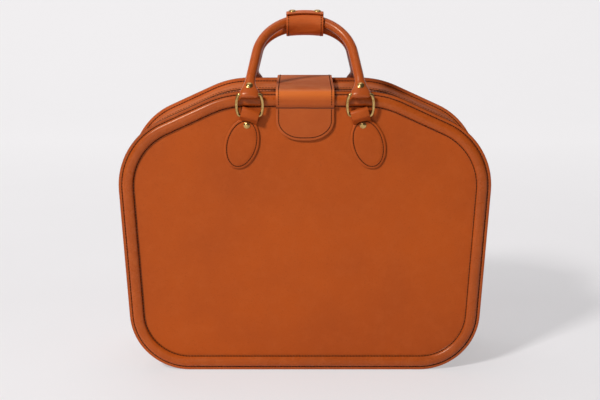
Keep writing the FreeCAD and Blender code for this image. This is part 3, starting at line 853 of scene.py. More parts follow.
@dataclass(frozen=True)
class Leather:
    """Smooth dyed leather, with a fine grain, soft mottling and rubbed places, and where asked painted shade in its
    wrinkles and crease and a painted highlight on its bend.
    """

    label: str
    colour: Colour
    shade: Colour
    rubbed: Colour
    grain: float = 1150.0
    grain_depth: float = 0.00010
    swell_depth: float = 0.0009
    gloss: tuple[float, float] = (0.42, 0.56)
    shine: float = 0.22
    crease_z: float | None = None
    scuff_and_highlight_z: float | None = None
    wrinkled: bool = False
    painted_fold_shade: Colour = (142, 66, 32)
    scuff_pale: Colour = (190, 112, 66)
    painted_bend_highlight: Colour = (218, 112, 44)
    painted_crease_shade: Colour = (70, 30, 16)

    def material(self) -> bpy.types.Material:
        """Builds the leather's material.

        Returns:
            The new material.
        """
        mix = Mixer(self.label)
        cloud = mix.spread(mix.noise(7.0, 4.0, 0.55), 0.36, 0.68, (0.0, 1.0))
        fleck = mix.spread(mix.noise(70.0, 5.0, 0.6), 0.46, 0.78, (0.0, 0.36))
        pores = mix.spread(mix.noise(620.0, 2.0, 0.5), 0.58, 0.74, (0.0, 0.24))
        colour = mix.blend(cloud, linear(*self.colour), linear(*self.shade))
        colour = mix.blend(fleck, colour, linear(*self.rubbed))
        colour = mix.blend(pores, colour, linear(*[int(c * 0.72) for c in self.shade]))
        if self.wrinkled:
            # Painted shade along the wrinkles, following the same noise as their bump.
            folds = mix.noise(1.0, 4.0, 0.55, mix.stretched((16.0, 90.0, 16.0)))
            depth = mix.spread(folds, 0.46, 0.66, (0.0, 0.42))
            colour = mix.blend(depth, colour, linear(*self.painted_fold_shade))
        if self.scuff_and_highlight_z is not None:
            colour = self.scuffs_and_bend_highlight(mix, colour)
        if self.crease_z is not None:
            colour = self.shade_crease(mix, colour)
        mix.feed("Base Color", colour)
        rough = mix.spread(mix.noise(38.0, 4.0, 0.6), 0.3, 0.7, self.gloss)
        if self.scuff_and_highlight_z is not None:
            dull = mix.spread(mix.axis(2), self.scuff_and_highlight_z - 0.0005, self.scuff_and_highlight_z + 0.0014, (0.0, 1.0))
            rough = mix.math("ADD", rough, mix.math("MULTIPLY", dull, 0.45))
        mix.feed("Roughness", rough)
        mix.feed("Specular IOR Level", self.shine)
        mix.feed("Specular Tint", (1.0, 0.82, 0.64, 1.0))
        swell = mix.bump(mix.noise(16.0, 2.0, 0.4), 0.35, self.swell_depth)
        if self.wrinkled:
            swell = mix.bump(folds, 0.6, 0.0016, swell)
        pebbles = mix.math("ADD", mix.cells(self.grain), mix.noise(self.grain * 1.7, 2.0, 0.5))
        mix.feed("Normal", mix.bump(pebbles, 0.28, self.grain_depth, swell))
        return mix.material

    def scuffs_and_bend_highlight(self, mix: Mixer, colour: bpy.types.NodeSocket) -> bpy.types.NodeSocket:
        """Rubs the leather pale above a height, in streaks along the fold, and paints a highlight along the front bend
        below it.

        Args:
            mix: The material's nodes.
            colour: The leather's colour so far.

        Returns:
            The rubbed colour with the painted bend highlight.
        """
        above = mix.spread(mix.axis(2), self.scuff_and_highlight_z - 0.009, self.scuff_and_highlight_z + 0.003, (0.0, 1.0))
        lines = mix.noise(1.0, 5.0, 0.65, mix.stretched((34.0, 75.0, 20.0)))
        streaks = mix.spread(lines, 0.36, 0.66, (0.15, 0.85))
        patches = mix.spread(mix.noise(26.0, 4.0, 0.6), 0.30, 0.62, (0.25, 1.0))
        amount = mix.math("MULTIPLY", mix.math("MULTIPLY", above, streaks), patches)
        colour = mix.blend(amount, colour, linear(*self.scuff_pale))
        # Painted highlight: a lighter band along the front bend, below the scuffed top.
        low = mix.spread(mix.axis(2), self.scuff_and_highlight_z - 0.014, self.scuff_and_highlight_z - 0.006, (0.0, 0.7))
        high = mix.spread(mix.axis(2), self.scuff_and_highlight_z - 0.002, self.scuff_and_highlight_z + 0.001, (1.0, 0.0))
        front = mix.spread(mix.axis(1), -0.06, -0.05, (1.0, 0.0))
        bend = mix.math("MULTIPLY", mix.math("MULTIPLY", low, high), front)
        return mix.blend(bend, colour, linear(*self.painted_bend_highlight))

    def shade_crease(self, mix: Mixer, colour: bpy.types.NodeSocket) -> bpy.types.NodeSocket:
        """Paints shade along a crease across the leather.

        Args:
            mix: The material's nodes.
            colour: The leather's colour so far.

        Returns:
            The colour with the painted crease shade.
        """
        # Painted shade: a dark, wandering line along the crease, on the front only.
        wander = mix.math("MULTIPLY", mix.noise(45.0, 2.0, 0.5), 0.0016)
        height = mix.math("ADD", mix.axis(2), wander)
        away = mix.math("ABSOLUTE", mix.math("SUBTRACT", height, self.crease_z + 0.0008), 0.0)
        front = mix.spread(mix.axis(1), -0.02, 0.0, (1.0, 0.0))
        line = mix.spread(away, 0.0003, 0.0011, (0.9, 0.0))
        return mix.blend(mix.math("MULTIPLY", line, front), colour, linear(*self.painted_crease_shade))


@dataclass(frozen=True)
class EdgeDyeAndShade:
    """Burnished cut edge of leather, whose dark finish is also laid as painted shade in stitch grooves, in the zip
    slot, under the wrap's leaf and round the chapes and strap.
    """

    label: str
    colour: Colour = (74, 31, 14)

    def material(self) -> bpy.types.Material:
        """Builds the material of the edge."""
        mix = Mixer(self.label)
        fibre = mix.spread(mix.noise(420.0, 4.0, 0.6), 0.3, 0.7, (0.0, 1.0))
        dark = tuple(int(c * 0.66) for c in self.colour)
        mix.feed("Base Color", mix.blend(fibre, linear(*self.colour), linear(*dark)))
        mix.feed("Roughness", mix.spread(fibre, 0.0, 1.0, (0.58, 0.74)))
        mix.feed("Specular IOR Level", 0.06)
        mix.feed("Normal", mix.bump(fibre, 0.2, 0.0001))
        return mix.material


@dataclass(frozen=True)
class Metal:
    """Solid metal with fine handling marks and darker tarnish."""

    label: str
    colour: Colour
    tarnish: Colour
    gloss: tuple[float, float] = (0.16, 0.34)
    bare: float = 1.0

    def material(self) -> bpy.types.Material:
        """Builds the material of the metal."""
        mix = Mixer(self.label)
        cloud = mix.spread(mix.noise(240.0, 4.0, 0.6), 0.42, 0.72, (0.0, 1.0))
        marks = mix.noise(1.0, 3.0, 0.6, mix.stretched((5200.0, 700.0, 900.0)))
        mix.feed("Base Color", mix.blend(cloud, linear(*self.colour), linear(*self.tarnish)))
        mix.feed("Metallic", self.bare)
        mix.feed("Specular IOR Level", 0.5 * self.bare)
        mix.feed("Roughness", mix.spread(marks, 0.3, 0.75, self.gloss))
        mix.feed("Normal", mix.bump(marks, 0.08, 0.00003))
        return mix.material


@dataclass(frozen=True)
class Thread:
    """Waxed sewing thread with a twist."""

    label: str
    colour: Colour

    def material(self) -> bpy.types.Material:
        """Builds the material of the thread."""
        mix = Mixer(self.label)
        twist = mix.wave(900.0, "DIAGONAL", 1.0)
        lighter = tuple(min(255, int(c * 1.7) + 6) for c in self.colour)
        mix.feed("Base Color", mix.blend(twist, linear(*self.colour), linear(*lighter)))
        mix.feed("Roughness", mix.spread(twist, 0.0, 1.0, (0.75, 0.9)))
        mix.feed("Specular IOR Level", 0.02)
        mix.feed("Normal", mix.bump(twist, 0.4, 0.00008))
        return mix.material


@dataclass(frozen=True)
class Weave:
    """Woven cloth, as in a zip tape or a lining."""

    label: str
    colour: Colour
    second: Colour
    threads: float = 420.0
    sheen: float = 0.15

    def material(self) -> bpy.types.Material:
        """Builds the material of the cloth."""
        mix = Mixer(self.label)
        ribs = mix.math("ADD", mix.wave(self.threads, "DIAGONAL", 0.4), mix.wave(self.threads * 0.8, "Z", 0.6))
        ribs = mix.math("MULTIPLY", ribs, 0.5)
        fade = mix.spread(mix.noise(24.0, 4.0, 0.6), 0.35, 0.7, (0.0, 0.5))
        colour = mix.blend(ribs, linear(*self.colour), linear(*self.second))
        mix.feed("Base Color", mix.blend(fade, colour, linear(*[int(c * 0.8) for c in self.colour])))
        mix.feed("Roughness", mix.spread(ribs, 0.0, 1.0, (0.75, 0.9)))
        mix.feed("Sheen Weight", self.sheen)
        mix.feed("Specular IOR Level", self.sheen)
        mix.feed("Normal", mix.bump(ribs, 0.45, 0.00012))
        return mix.material


@dataclass(frozen=True)
class Fibreboard:
    """Pressed stiffening board."""

    label: str
    colour: Colour = (139, 112, 82)

    def material(self) -> bpy.types.Material:
        """Builds the material of the board."""
        mix = Mixer(self.label)
        fibre = mix.noise(1.0, 6.0, 0.7, mix.stretched((260.0, 260.0, 60.0)))
        dark = tuple(int(c * 0.75) for c in self.colour)
        mix.feed("Base Color", mix.blend(fibre, linear(*self.colour), linear(*dark)))
        mix.feed("Roughness", mix.spread(fibre, 0.2, 0.8, (0.8, 0.95)))
        mix.feed("Normal", mix.bump(fibre, 0.3, 0.0002))
        return mix.material


class Palette:
    """Every finish on the case, built once."""

    def __init__(self) -> None:
        """Builds the materials."""
        self.panel = Leather("tan_leather", (182, 80, 22), (170, 74, 23), (188, 90, 36)).material()
        self.rim = Leather(
            "rim_leather", (178, 79, 22), (162, 72, 23), (190, 96, 42), gloss=(0.22, 0.32), shine=0.32
        ).material()
        # Painted light: the wall leather is lighter than the panel leather, standing in for the light that falls on
        # the top wall.
        self.wall = Leather(
            "wall_leather", (196, 100, 48), (174, 82, 36), (204, 120, 68),
            swell_depth=0.0016, gloss=(0.6, 0.75), shine=0.12, wrinkled=True,
        ).material()
        self.chape = Leather("chape_leather", (180, 79, 22), (166, 72, 22), (188, 92, 38)).material()
        self.handle = Leather(
            "handle_leather", (178, 80, 28), (162, 72, 26), (190, 96, 46),
            swell_depth=0.0004, gloss=(0.24, 0.34), shine=0.34,
        ).material()
        # Painted light: the wrap leather is lighter than the handle leather, for the light that its downward-facing
        # front misses.
        self.wrap = Leather(
            "wrap_leather_painted_light", (202, 94, 36), (186, 85, 32), (208, 110, 54), swell_depth=0.0004, shine=0.3
        ).material()
        self.strap = Leather(
            "strap_leather", (178, 79, 22), (166, 73, 22), (186, 92, 36),
            gloss=(0.3, 0.42), shine=0.4, crease_z=0.3727, scuff_and_highlight_z=0.3969,
        ).material()
        self.edge = EdgeDyeAndShade("leather_edge_and_shade").material()
        # Painted shade: the darker finish laid along the stitch rows.
        self.groove_shade = EdgeDyeAndShade("stitch_groove_shade", (104, 44, 16)).material()
        self.brass = Metal("brass", (207, 171, 108), (154, 115, 60), gloss=(0.18, 0.34)).material()
        self.zip_metal = Metal("zip_metal", (40, 37, 37), (22, 21, 22), gloss=(0.55, 0.7), bare=0.15).material()
        self.steel = Metal("steel", (176, 178, 182), (138, 140, 146)).material()
        self.thread = Thread("thread", (44, 24, 16)).material()
        self.tape = Weave("zip_tape", (16, 16, 21), (27, 27, 34), threads=520.0, sheen=0.0).material()
        self.lining = Weave("lining", (150, 118, 84), (170, 138, 102), threads=360.0).material()
        self.board = Fibreboard("board").material()


@dataclass
class Stitching:
    """A row of stitches, sewn flat along a path and then put in place."""

    finish: bpy.types.Material
    length: float = 0.0027
    width: float = 0.0013
    height: float = 0.0011
    pitch: float = 0.0042
    slant: float = 7.0
    groove_shade: bpy.types.Material | None = None
    groove_radius: float = 0.00042
    rounding: float = 0.28

    def fine(self) -> Stitching:
        """Gives the smaller stitches of the fittings."""
        return replace(self, length=0.0023, width=0.0011, height=0.0010, pitch=0.0034)

    def laid(self) -> Stitching:
        """Gives the same stitches for a row whose path is seen from its edge, with no painted groove shade."""
        return replace(self, width=self.height, height=self.width, slant=0.0, groove_shade=None)

    def stitch(self, label: str) -> bpy.types.Object:
        """Models one stitch along X.

        Args:
            label: Name of the object.

        Returns:
            The stitch at the origin.
        """
        Bench.clear()
        bpy.ops.mesh.primitive_cube_add(size=1, scale=(self.length, self.width, self.height))
        obj = Bench.name(label)
        Bench.edit(obj)
        bpy.ops.mesh.bevel(offset=self.width * self.rounding, segments=1, affect="EDGES")
        bpy.ops.mesh.select_all(action="SELECT")
        bpy.ops.transform.rotate(value=math.radians(self.slant), orient_axis="Z", center_override=(0, 0, 0))
        bpy.ops.object.mode_set(mode="OBJECT")
        return obj

    def row(self, label: str, path: Path, matrix: Matrix, body: str) -> bpy.types.Object:
        """Sews one row.

        Args:
            label: Name of the row.
            path: Line of the stitches, in the flat plane.
            matrix: Place of the flat plane.
            body: Body that the row moves with.

        Returns:
            The row.
        """
        count = max(2, round(path.length() / self.pitch))
        row = Repeat(self.stitch(label), path, count).place(matrix)
        Bench.paint(row, self.finish)
        # Painted shade: a dark wire along the row stands for the shade in the stitch groove, over the groove's own
        # pressed leather.
        if self.groove_shade is not None:
            line = Bench.wire(label + "_groove", path, Plane.FLAT, self.groove_radius)
            Bench.paint(Bench.place(line, matrix), self.groove_shade)
            Bench.finish(line, body, "tan_leather", smooth=60)
        return Bench.finish(row, body, "tan_leather")


@dataclass
class Repeat:
    """Copies of one small shape along a path."""

    master: bpy.types.Object
    path: Path
    count: int
    phase: float = 0.5

    def place(self, matrix: Matrix) -> bpy.types.Object:
        """Lays the copies along the path and puts them in place.

        Args:
            matrix: Place of the flat plane that the path is drawn in.

        Returns:
            The row of copies as one object.
        """
        guide = Bench.draw(self.master.name + "_guide", self.path, Plane.FLAT)
        Bench.pick(guide)
        bpy.ops.object.convert(target="CURVE")
        guide = bpy.context.object
        guide.data.dimensions = "2D"
        step = self.path.length() / self.count
        Bench.place(self.master, Matrix.Translation((step * self.phase, 0, 0)))
        Bench.modify(
            self.master, "ARRAY", fit_type="FIXED_COUNT", count=self.count, use_relative_offset=False,
            use_constant_offset=True, constant_offset_displace=(step, 0, 0),
        )
        Bench.modify(self.master, "CURVE", object=guide, deform_axis="POS_X")
        Bench.pick(guide)
        bpy.ops.object.delete()
        return Bench.place(self.master, matrix)


def stand(depth: float) -> Matrix:
    """Stands a flat plane up behind the viewer's side of a depth.

    Args:
        depth: Distance in front of the middle of the case.

    Returns:
        The matrix that carries the flat plane there, facing the front.
    """
    return Matrix.Translation((0, -depth, 0)) @ Matrix.Rotation(math.pi / 2, 4, "X")


def across(x: float) -> Matrix:
    """Turns the flat plane so that its axes run along Y and Z.

    Args:
        x: Where the plane lies.

    Returns:
        The matrix that carries the flat plane there, facing along X.
    """
    turn = Matrix(((0, 0, 1, 0), (1, 0, 0, 0), (0, 1, 0, 0), (0, 0, 0, 1)))
    return Matrix.Translation((x, 0, 0)) @ turn


@dataclass
class CaseOutline:
    """Outline of the case, seen from the front."""

    height: float = 0.3944
    top_half: float = 0.108
    shoulder_half: float = 0.257
    shoulder_height: float = 0.326
    bottom_half: float = 0.240
    top_radius: float = 0.130
    shoulder_radius: float = 0.100
    bottom_radius: float = 0.083
    spine_half: float = 0.1603

    def path(self, inset: float = 0.0, spine: bool = False) -> Path:
        """Gives the outline from the bottom, up the right side and round.

        Args:
            inset: Distance inside the outline.
            spine: Whether it leaves out the hinge at the bottom.

        Returns:
            The path in the front plane.
        """
        half = [(0.0, 0.0), (self.bottom_half, 0.0), (self.shoulder_half, self.shoulder_height)]
        half += [(self.top_half, self.height)]
        corners = [Vector(p) for p in half] + [Vector((-x, z)) for x, z in reversed(half)]
        radii = [self.bottom_radius, self.shoulder_radius, self.top_radius]
        radii += radii[::-1]
        steps = (20, 16, 8, 8, 16, 20)
        path = Path((self.spine_half if spine else 0.0, inset), closed=not spine)
        for index, radius in enumerate(radii):
            before, corner, after = corners[index : index + 3]
            u, v = (corner - before).normalized(), (after - corner).normalized()
            turn = math.acos(max(-1.0, min(1.0, u.dot(v))))
            start = corner - u * (radius * math.tan(turn / 2))
            centre = start + Vector((-u.y, u.x)) * radius
            begin = centre + Vector((u.y, -u.x)) * (radius - inset)
            path.to(begin.x, begin.y)
            path.round((centre.x, centre.y), math.degrees(turn), steps[index])
        path.to(-path.start[0], inset)
        return path


@dataclass
class Half:
    """One half of the case: panel, bolstered rim, wall, lining and its side of the zip."""

    side: Side
    outline: CaseOutline
    palette: Palette
    stitching: Stitching
    seam: float = 70.0
    panel_face: float = 72.2
    rim_face: float = 73.4
    bead_middle: float = 12.4
    bead_half: float = 7.0
    bead_rise: float = 4.0
    rim_width: float = 21.4
    wall: tuple[float, float] = (7.0, 9.2)
    flange: float = 2.0
    outer_row: float = 4.4
    inner_row: float = 20.2
    lining_inset: float = 0.0097
    lining_back: float = 0.0671
    lining_thickness: float = 0.0005
    lining_strip: float = 0.0585
    tooth_low: tuple[float, float, float] = (-0.0007, -0.0015, -0.00265)
    tooth_high: tuple[float, float, float] = (0.0007, 0.0015, 0.00125)
    tooth_bevel: float = 0.0003
    tooth_pitch: float = 0.0029
    teeth_inset: float = 0.0098
    teeth_depth: float = 0.00195

    def build(self) -> None:
        """Builds and dresses every piece of the half."""
        self.rim()
        self.panel()
        self.gusset()
        self.lining()
        self.zip_tape()
        self.zip_teeth()
        self.sew()

    def set(self, obj: bpy.types.Object, slot: str, node: str | None = None) -> bpy.types.Object:
        """Puts a piece made for the front on this half.

        Args:
            obj: The piece.
            slot: Material slot of its finish.
            node: Solid that it stands for, without the half's name.

        Returns:
            The piece.
        """
        Bench.place(obj, self.side.matrix())
        nodes = (f"{self.side.value}_{node}",) if node else ()
        return Bench.finish(obj, self.side.body(), slot, *nodes)

    def rim(self) -> None:
        """Sweeps the bolstered rim round the panel."""
        face = self.rim_face
        profile = [(3.0, self.seam), (0.35, self.seam), (0.0, self.seam + 0.4), (0.0, face - 0.8)]
        profile += [(0.25, face - 0.25), (0.8, face), (3.5, face), (4.2, face - 0.25), (4.9, face - 0.2)]
        for k in range(1, 12):
            a = math.pi * k / 12
            rise = self.bead_rise * math.sin(a) ** 0.75
            profile.append((self.bead_middle - self.bead_half * math.cos(a), face + rise))
        profile += [(19.7, face - 0.2), (20.4, face - 0.25), (21.0, face - 0.3), (self.rim_width, face - 0.6)]
        profile += [(self.rim_width, self.panel_face), (3.0, self.panel_face)]
        obj = Bench.sweep(f"{self.side.value}_rim_bolster", profile, self.outline.path())
        Bench.paint(obj, self.palette.rim, self.palette.edge)
        low = (self.seam + 0.2) / 1000
        Bench.paint_faces(obj, 1, lambda at, out: abs(out.y) < 0.5 and low < -at.y < (face - 0.3) / 1000)
        self.set(obj, "tan_leather", "rim")

    def panel(self) -> None:
        """Makes the big panel, slightly crowned over its board."""
        rise = (self.panel_face - self.seam) / 1000
        path = self.outline.path(0.0032)
        obj = Bench.plate(f"{self.side.value}_panel_leather", path, Plane.FRONT, self.seam / 1000, rise)
        Bench.inset([(17.0, 0.0), (14.0, 0.12), (18.0, 0.14), (22.0, 0.1)])
        bpy.ops.object.mode_set(mode="OBJECT")
        Bench.paint(obj, self.palette.panel)
        self.set(obj, "tan_leather", "panel")

    def gusset(self) -> None:
        """Sweeps the side wall, folded over along the zip."""
        low, high = self.wall
        back = self.seam - self.flange
        profile = [(0.4, self.seam), (0.4, back + 0.3), (0.7, back), (5.4, back), (6.5, back - 0.5), (low, back - 1.6)]
        profile += [(low, 45.0), (low - 0.35, 42.5), (low, 40.0), (low, 12.4), (low + 0.3, 11.6), (low + 0.05, 10.8)]
        profile += [(low - 0.2, 9.6), (low - 0.2, 7.4), (low + 0.3, 6.6), (high - 0.4, 6.6), (high, 7.2)]
        profile += [(high, self.seam)]
        obj = Bench.sweep(f"{self.side.value}_wall_leather", profile, self.outline.path(spine=True))
        Bench.paint(obj, self.palette.wall, self.palette.edge)
        # The wall's edge beside the zip takes the dark edge finish, partly as its edge dye and partly as painted
        # shadow of the zip slot.
        Bench.paint_faces(obj, 1, lambda at, out: abs(at.y) < 0.0070 and out.y > 0.5)
        self.set(obj, "tan_leather", "gusset")

    def lining(self) -> None:
        """Makes the cloth over the board and round the inside of the wall."""
        path = self.outline.path(self.lining_inset)
        label = f"{self.side.value}_lining_sheet"
        sheet = Bench.plate(label, path, Plane.FRONT, self.lining_back, self.lining_thickness)
        bpy.ops.object.mode_set(mode="OBJECT")
        size = (sheet.dimensions.x, sheet.dimensions.z)
        Bench.paint(sheet, self.palette.lining)
        self.set(sheet, "lining", "lining")
        high = self.wall[1]
        profile = [(high, 67.6), (high, 14.4), (high + 0.25, 14.2), (high + 0.6, 14.4), (high + 0.6, 66.4)]
        profile += [(13.0, 66.9), (13.0, 67.1), (high + 1.8, 67.6)]
        wall = Bench.sweep(f"{self.side.value}_lining_wall", profile, self.outline.path(spine=True))
        Bench.paint(wall, self.palette.lining)
        self.set(wall, "lining", "lining")
        size = (self.lining_strip, self.outline.path(high / 1000, spine=True).length())

    def zip_tape(self) -> None:
        """Sweeps the zip's woven tape, with its corded edge and the tongue under the teeth."""
        profile = [(9.3, 14.0), (9.3, 5.2), (9.0, 4.6), (9.0, 3.6), (9.4, 3.25), (9.5, 0.8), (10.1, 0.8)]
        profile += [(10.2, 3.25), (10.6, 3.7), (10.6, 4.5), (10.3, 5.2), (10.3, 14.0)]
        obj = Bench.sweep(f"{self.side.value}_zip_cloth", profile, self.outline.path(spine=True))
        Bench.paint(obj, self.palette.tape)
        self.set(obj, "zip_tape", "zip_tape")

    def zip_teeth(self) -> None:
        """Sets the zip's teeth along the tape's edge, each row's between the other's."""
        label = f"{self.side.value}_zip_tooth_row"
        tooth = Bench.block(label, Vector(self.tooth_low), Vector(self.tooth_high), self.tooth_bevel)
        path = self.outline.path(self.teeth_inset, spine=True)
        phase = 0.3 if self.side is Side.FRONT else 0.2
        count = round(path.length() / self.tooth_pitch)
        row = Repeat(tooth, path, count, phase).place(stand(self.teeth_depth))
        Bench.paint(row, self.palette.zip_metal)
        self.set(row, "zip_metal", "zip_teeth")

    def sew(self) -> None:
        """Sews the two rows round the rim, the row on its flange and the row along the zip."""
        turn = self.side.matrix()
        for inset, name in ((self.outer_row, "outer"), (self.inner_row, "inner")):
            path = self.outline.path(inset / 1000)
            place = turn @ stand((self.rim_face - 0.05) / 1000)
            self.stitching.row(f"{self.side.value}_rim_{name}_stitches", path, place, self.side.body())
        path = self.outline.path(self.outer_row / 1000, spine=True)
        place = turn @ stand((self.seam - self.flange) / 1000)
        self.stitching.row(f"{self.side.value}_flange_stitches", path, place, self.side.body())
        path = self.outline.path((self.wall[0] - 0.1) / 1000, spine=True)
        place = turn @ stand(0.0138)
        self.stitching.laid().row(f"{self.side.value}_zip_stitches", path, place, self.side.body())


@dataclass
class BottomWall:
    """The wall under the case, which is also its leather hinge."""

    palette: Palette
    half_length: float = 0.160

    def build(self) -> None:
        """Draws the wall's section and carries it along the case."""
        loop = Path((-0.070, 0.0005), closed=True)
        loop.to(-0.0683, 0.0005).to(-0.068, 0.0009).to(-0.068, 0.0058).to(-0.0668, 0.007).to(0.0668, 0.007, 8)
        loop.to(0.068, 0.0058).to(0.068, 0.0009).to(0.0683, 0.0005).to(0.070, 0.0005).to(0.070, 0.0092)
        loop.to(-0.070, 0.0092, 8).to(-0.070, 0.0005)
        obj = Bench.draw("bottom_wall_leather", loop, Plane.SIDE, -self.half_length)
        for _ in range(8):
            Bench.pull_edges(Vector((self.half_length / 4, 0, 0)))
        Bench.seal()
        Bench.paint(obj, self.palette.wall)
        Bench.place(obj, Matrix.Translation((0, MIDDLE_Y, 0)))
        Bench.finish(obj, "rear_half", "tan_leather", "bottom_gusset")


@dataclass
class Rivets:
    """Domed brass rivets, modelled once and copied."""

    palette: Palette
    profile: Profile = (
        (0.0, 1.95), (1.3, 1.86), (2.5, 1.55), (3.4, 1.05), (3.75, 0.62), (4.0, 0.55), (4.35, 0.4), (4.4, 0.0),
        (3.9, -0.1), (0.0, -0.1),
    )

    def put(self, label: str, matrix: Matrix, body: str) -> None:
        """Sets one rivet.

        Args:
            label: Name of the solid that it stands for.
            matrix: Place of its foot, facing the front before the turn.
            body: Body that it moves with.
        """
        master = bpy.data.objects.get("rivet_master")
        if master is None:
            master = Bench.lathe("rivet_master", self.profile, 28)
            Bench.paint(master, self.palette.brass)
        obj = Bench.place(Bench.copy(master, label + "_cap"), matrix)
        Bench.finish(obj, body, "brass", label, smooth=50)

    def clear_up(self) -> None:
        """Removes the master when all are set."""
        Bench.pick(bpy.data.objects["rivet_master"])
        bpy.ops.object.delete()


@dataclass
class RingMounts:
    """The four rings in their leather chapes."""

    outline: CaseOutline
    palette: Palette
    stitching: Stitching
    rivets: Rivets
    ring_x: float = 0.074
    bar_y: float = 0.080
    bar_drop: float = 0.0314
    panel_y: float = 0.0722
    pitch: float = 0.029
    half_width: float = 0.0175
    bar_half: float = 0.0126
    corner: float = 0.003
    wire_radius: float = 0.0022
    tilt: float = 16.0
    neck_half: float = 0.0122
    neck_z: float = -0.0105
    loop_half: float = 0.0043
    lobe_half: tuple[float, float] = (0.0232, 0.035)
    lobe_drop: float = 0.041
    rivet_drop: float = 0.0146
    row_half: tuple[float, float] = (0.0193, 0.0318)
    leans: tuple[float, float] = (8.0, 26.0)
    lobe_thickness: float = 0.0024
    lobe_face: float = 0.0034
    lobe_insets: Profile = (
        (0.5, 0.5), (0.9, 0.3), (1.7, 0.1), (0.7, -0.25), (0.7, 0.0), (0.7, 0.25), (2.6, 0.15), (2.6, 0.1),
    )
    slope: Profile = (
        (-1.2, 1.2), (-2.6, 1.6), (-2.6, 1.6), (-2.3, 1.5), (-1.3, 1.2), (-0.4, 1.0), (0.0, 3.35), (0.0, 3.35),
    )
    tongue: Profile = ((0.0, -4.4), (0.0, -3.6), (2.5, -3.0), (0.2, -1.0))

    def build(self) -> None:
        """Builds the mounts of both halves."""
        for side, lean in zip((Side.FRONT, Side.REAR), self.leans):
            for hand in (-1, 1):
                self.mount(side, hand, lean)

    def mount(self, side: Side, hand: int, lean: float) -> None:
        """Builds one chape with its rivet, stitches and ring.

        Args:
            side: Half of the case.
            hand: -1 or 1, the side of the middle as built for the front.
            lean: How far the ring leans out, in degrees.
        """
        label = f"{side.value}_{side.hand(hand)}"
        spot = Vector((hand * self.ring_x, -self.bar_y, self.outline.height - self.bar_drop))
        at_bar = side.matrix() @ Matrix.Translation(spot)
        tilted = at_bar @ Matrix.Rotation(math.radians(-hand * self.tilt), 4, "Y")
        chape = Bench.place(self.chape(label + "_chape_leather"), tilted)
        Bench.finish(chape, side.body(), "tan_leather", label + "_chape")
        face = self.bar_y - self.panel_y - self.lobe_face
        self.stitching.row(label + "_chape_stitches", self.oval(), tilted @ stand(-face), side.body())
        seat = Matrix.Translation((0, face - 0.0001, -self.rivet_drop))
        self.rivets.put(label + "_chape_rivet", tilted @ seat, side.body())
        ring = Bench.wire(label + "_ring_wire", self.ring_path(), Plane.FRONT, self.wire_radius)
        Bench.paint(ring, self.palette.brass)
        Bench.place(ring, at_bar @ Matrix.Rotation(math.radians(lean), 4, "X"))
        Bench.finish(ring, label + "_ring", "brass", label + "_ring", smooth=60)

    def chape(self, label: str) -> bpy.types.Object:
        """Models a chape round its bar, which lies along X through the origin.

        Args:
            label: Name of the object.

        Returns:
            The chape.
        """
        depth = self.bar_y - self.panel_y
        wide, tall = self.lobe_half
        u, v = self.neck_half / wide, (self.neck_z + self.lobe_drop) / tall
        start = math.atan2(v, u) - math.acos(1 / math.hypot(u, v))
        path = Path((self.neck_half, self.neck_z), closed=True).to(-self.neck_half, self.neck_z)
        steps = 44
        for k in range(steps + 1):
            a = math.pi - start + (math.pi + 2 * start) * k / steps
            path.to(wide * math.cos(a), tall * math.sin(a) - self.lobe_drop)
        path.to(*path.start)
        obj = Bench.plate(label, path, Plane.FRONT, -depth, self.lobe_thickness)
        Bench.inset(self.lobe_insets)
        bpy.ops.object.mode_set(mode="OBJECT")
        Bench.choose_faces(obj, lambda at, out: out.z > 0.9 and at.z > self.neck_z - 0.0002)
        for dy, dz in self.slope:
            Bench.pull_faces(Vector((0, dy / 1000, dz / 1000)))
        Bench.spin(Vector((0, 0, self.loop_half)), Vector((1, 0, 0)), -math.pi, 10)
        for dy, dz in self.tongue:
            Bench.pull_faces(Vector((0, dy / 1000, dz / 1000)))
        Bench.seal(cap=False)
        Bench.soften(obj, 0.00045, 2, 50)
        Bench.paint(obj, self.palette.chape, self.palette.edge)
        # The dark edge finish covers the cut edge and the rounded rim of the face, partly edge dye and partly painted
        # shade round the lobe.
        Bench.paint_faces(obj, 1, lambda at, out: abs(out.y) < 0.6 and (at.z < self.neck_z or abs(out.x) > 0.75))
        return obj

    def oval(self) -> Path:
        """Gives the line of the chape's stitches."""
        wide, tall = self.row_half
        path = Path((wide, -self.lobe_drop), closed=True)
        for k in range(1, 65):
            a = math.tau * k / 64
            path.to(wide * math.cos(a), tall * math.sin(a) - self.lobe_drop)
        return path

    def ring_path(self) -> Path:
        """Gives the centre line of a bow-sided ring, with its lower bar through the origin."""
        half = self.pitch / 2
        reach, rise = self.half_width - self.bar_half, half - self.corner
        bow = (reach**2 + rise**2 - self.corner**2) / (2 * (reach - self.corner))
        bow_x = self.half_width - bow
        angle = math.degrees(math.atan2(rise, self.bar_half - bow_x))
        path = Path((-self.bar_half, 0.0), closed=True).to(self.bar_half, 0.0)
        path.round((self.bar_half, self.corner), 90 - angle, 6).round((bow_x, half), 2 * angle, 24)
        path.round((self.bar_half, self.pitch - self.corner), 90 - angle, 6).to(-self.bar_half, self.pitch)
        path.round((-self.bar_half, self.pitch - self.corner), 90 - angle, 6).round((-bow_x, half), 2 * angle, 24)
        return path.round((-self.bar_half, self.corner), 90 - angle, 6)


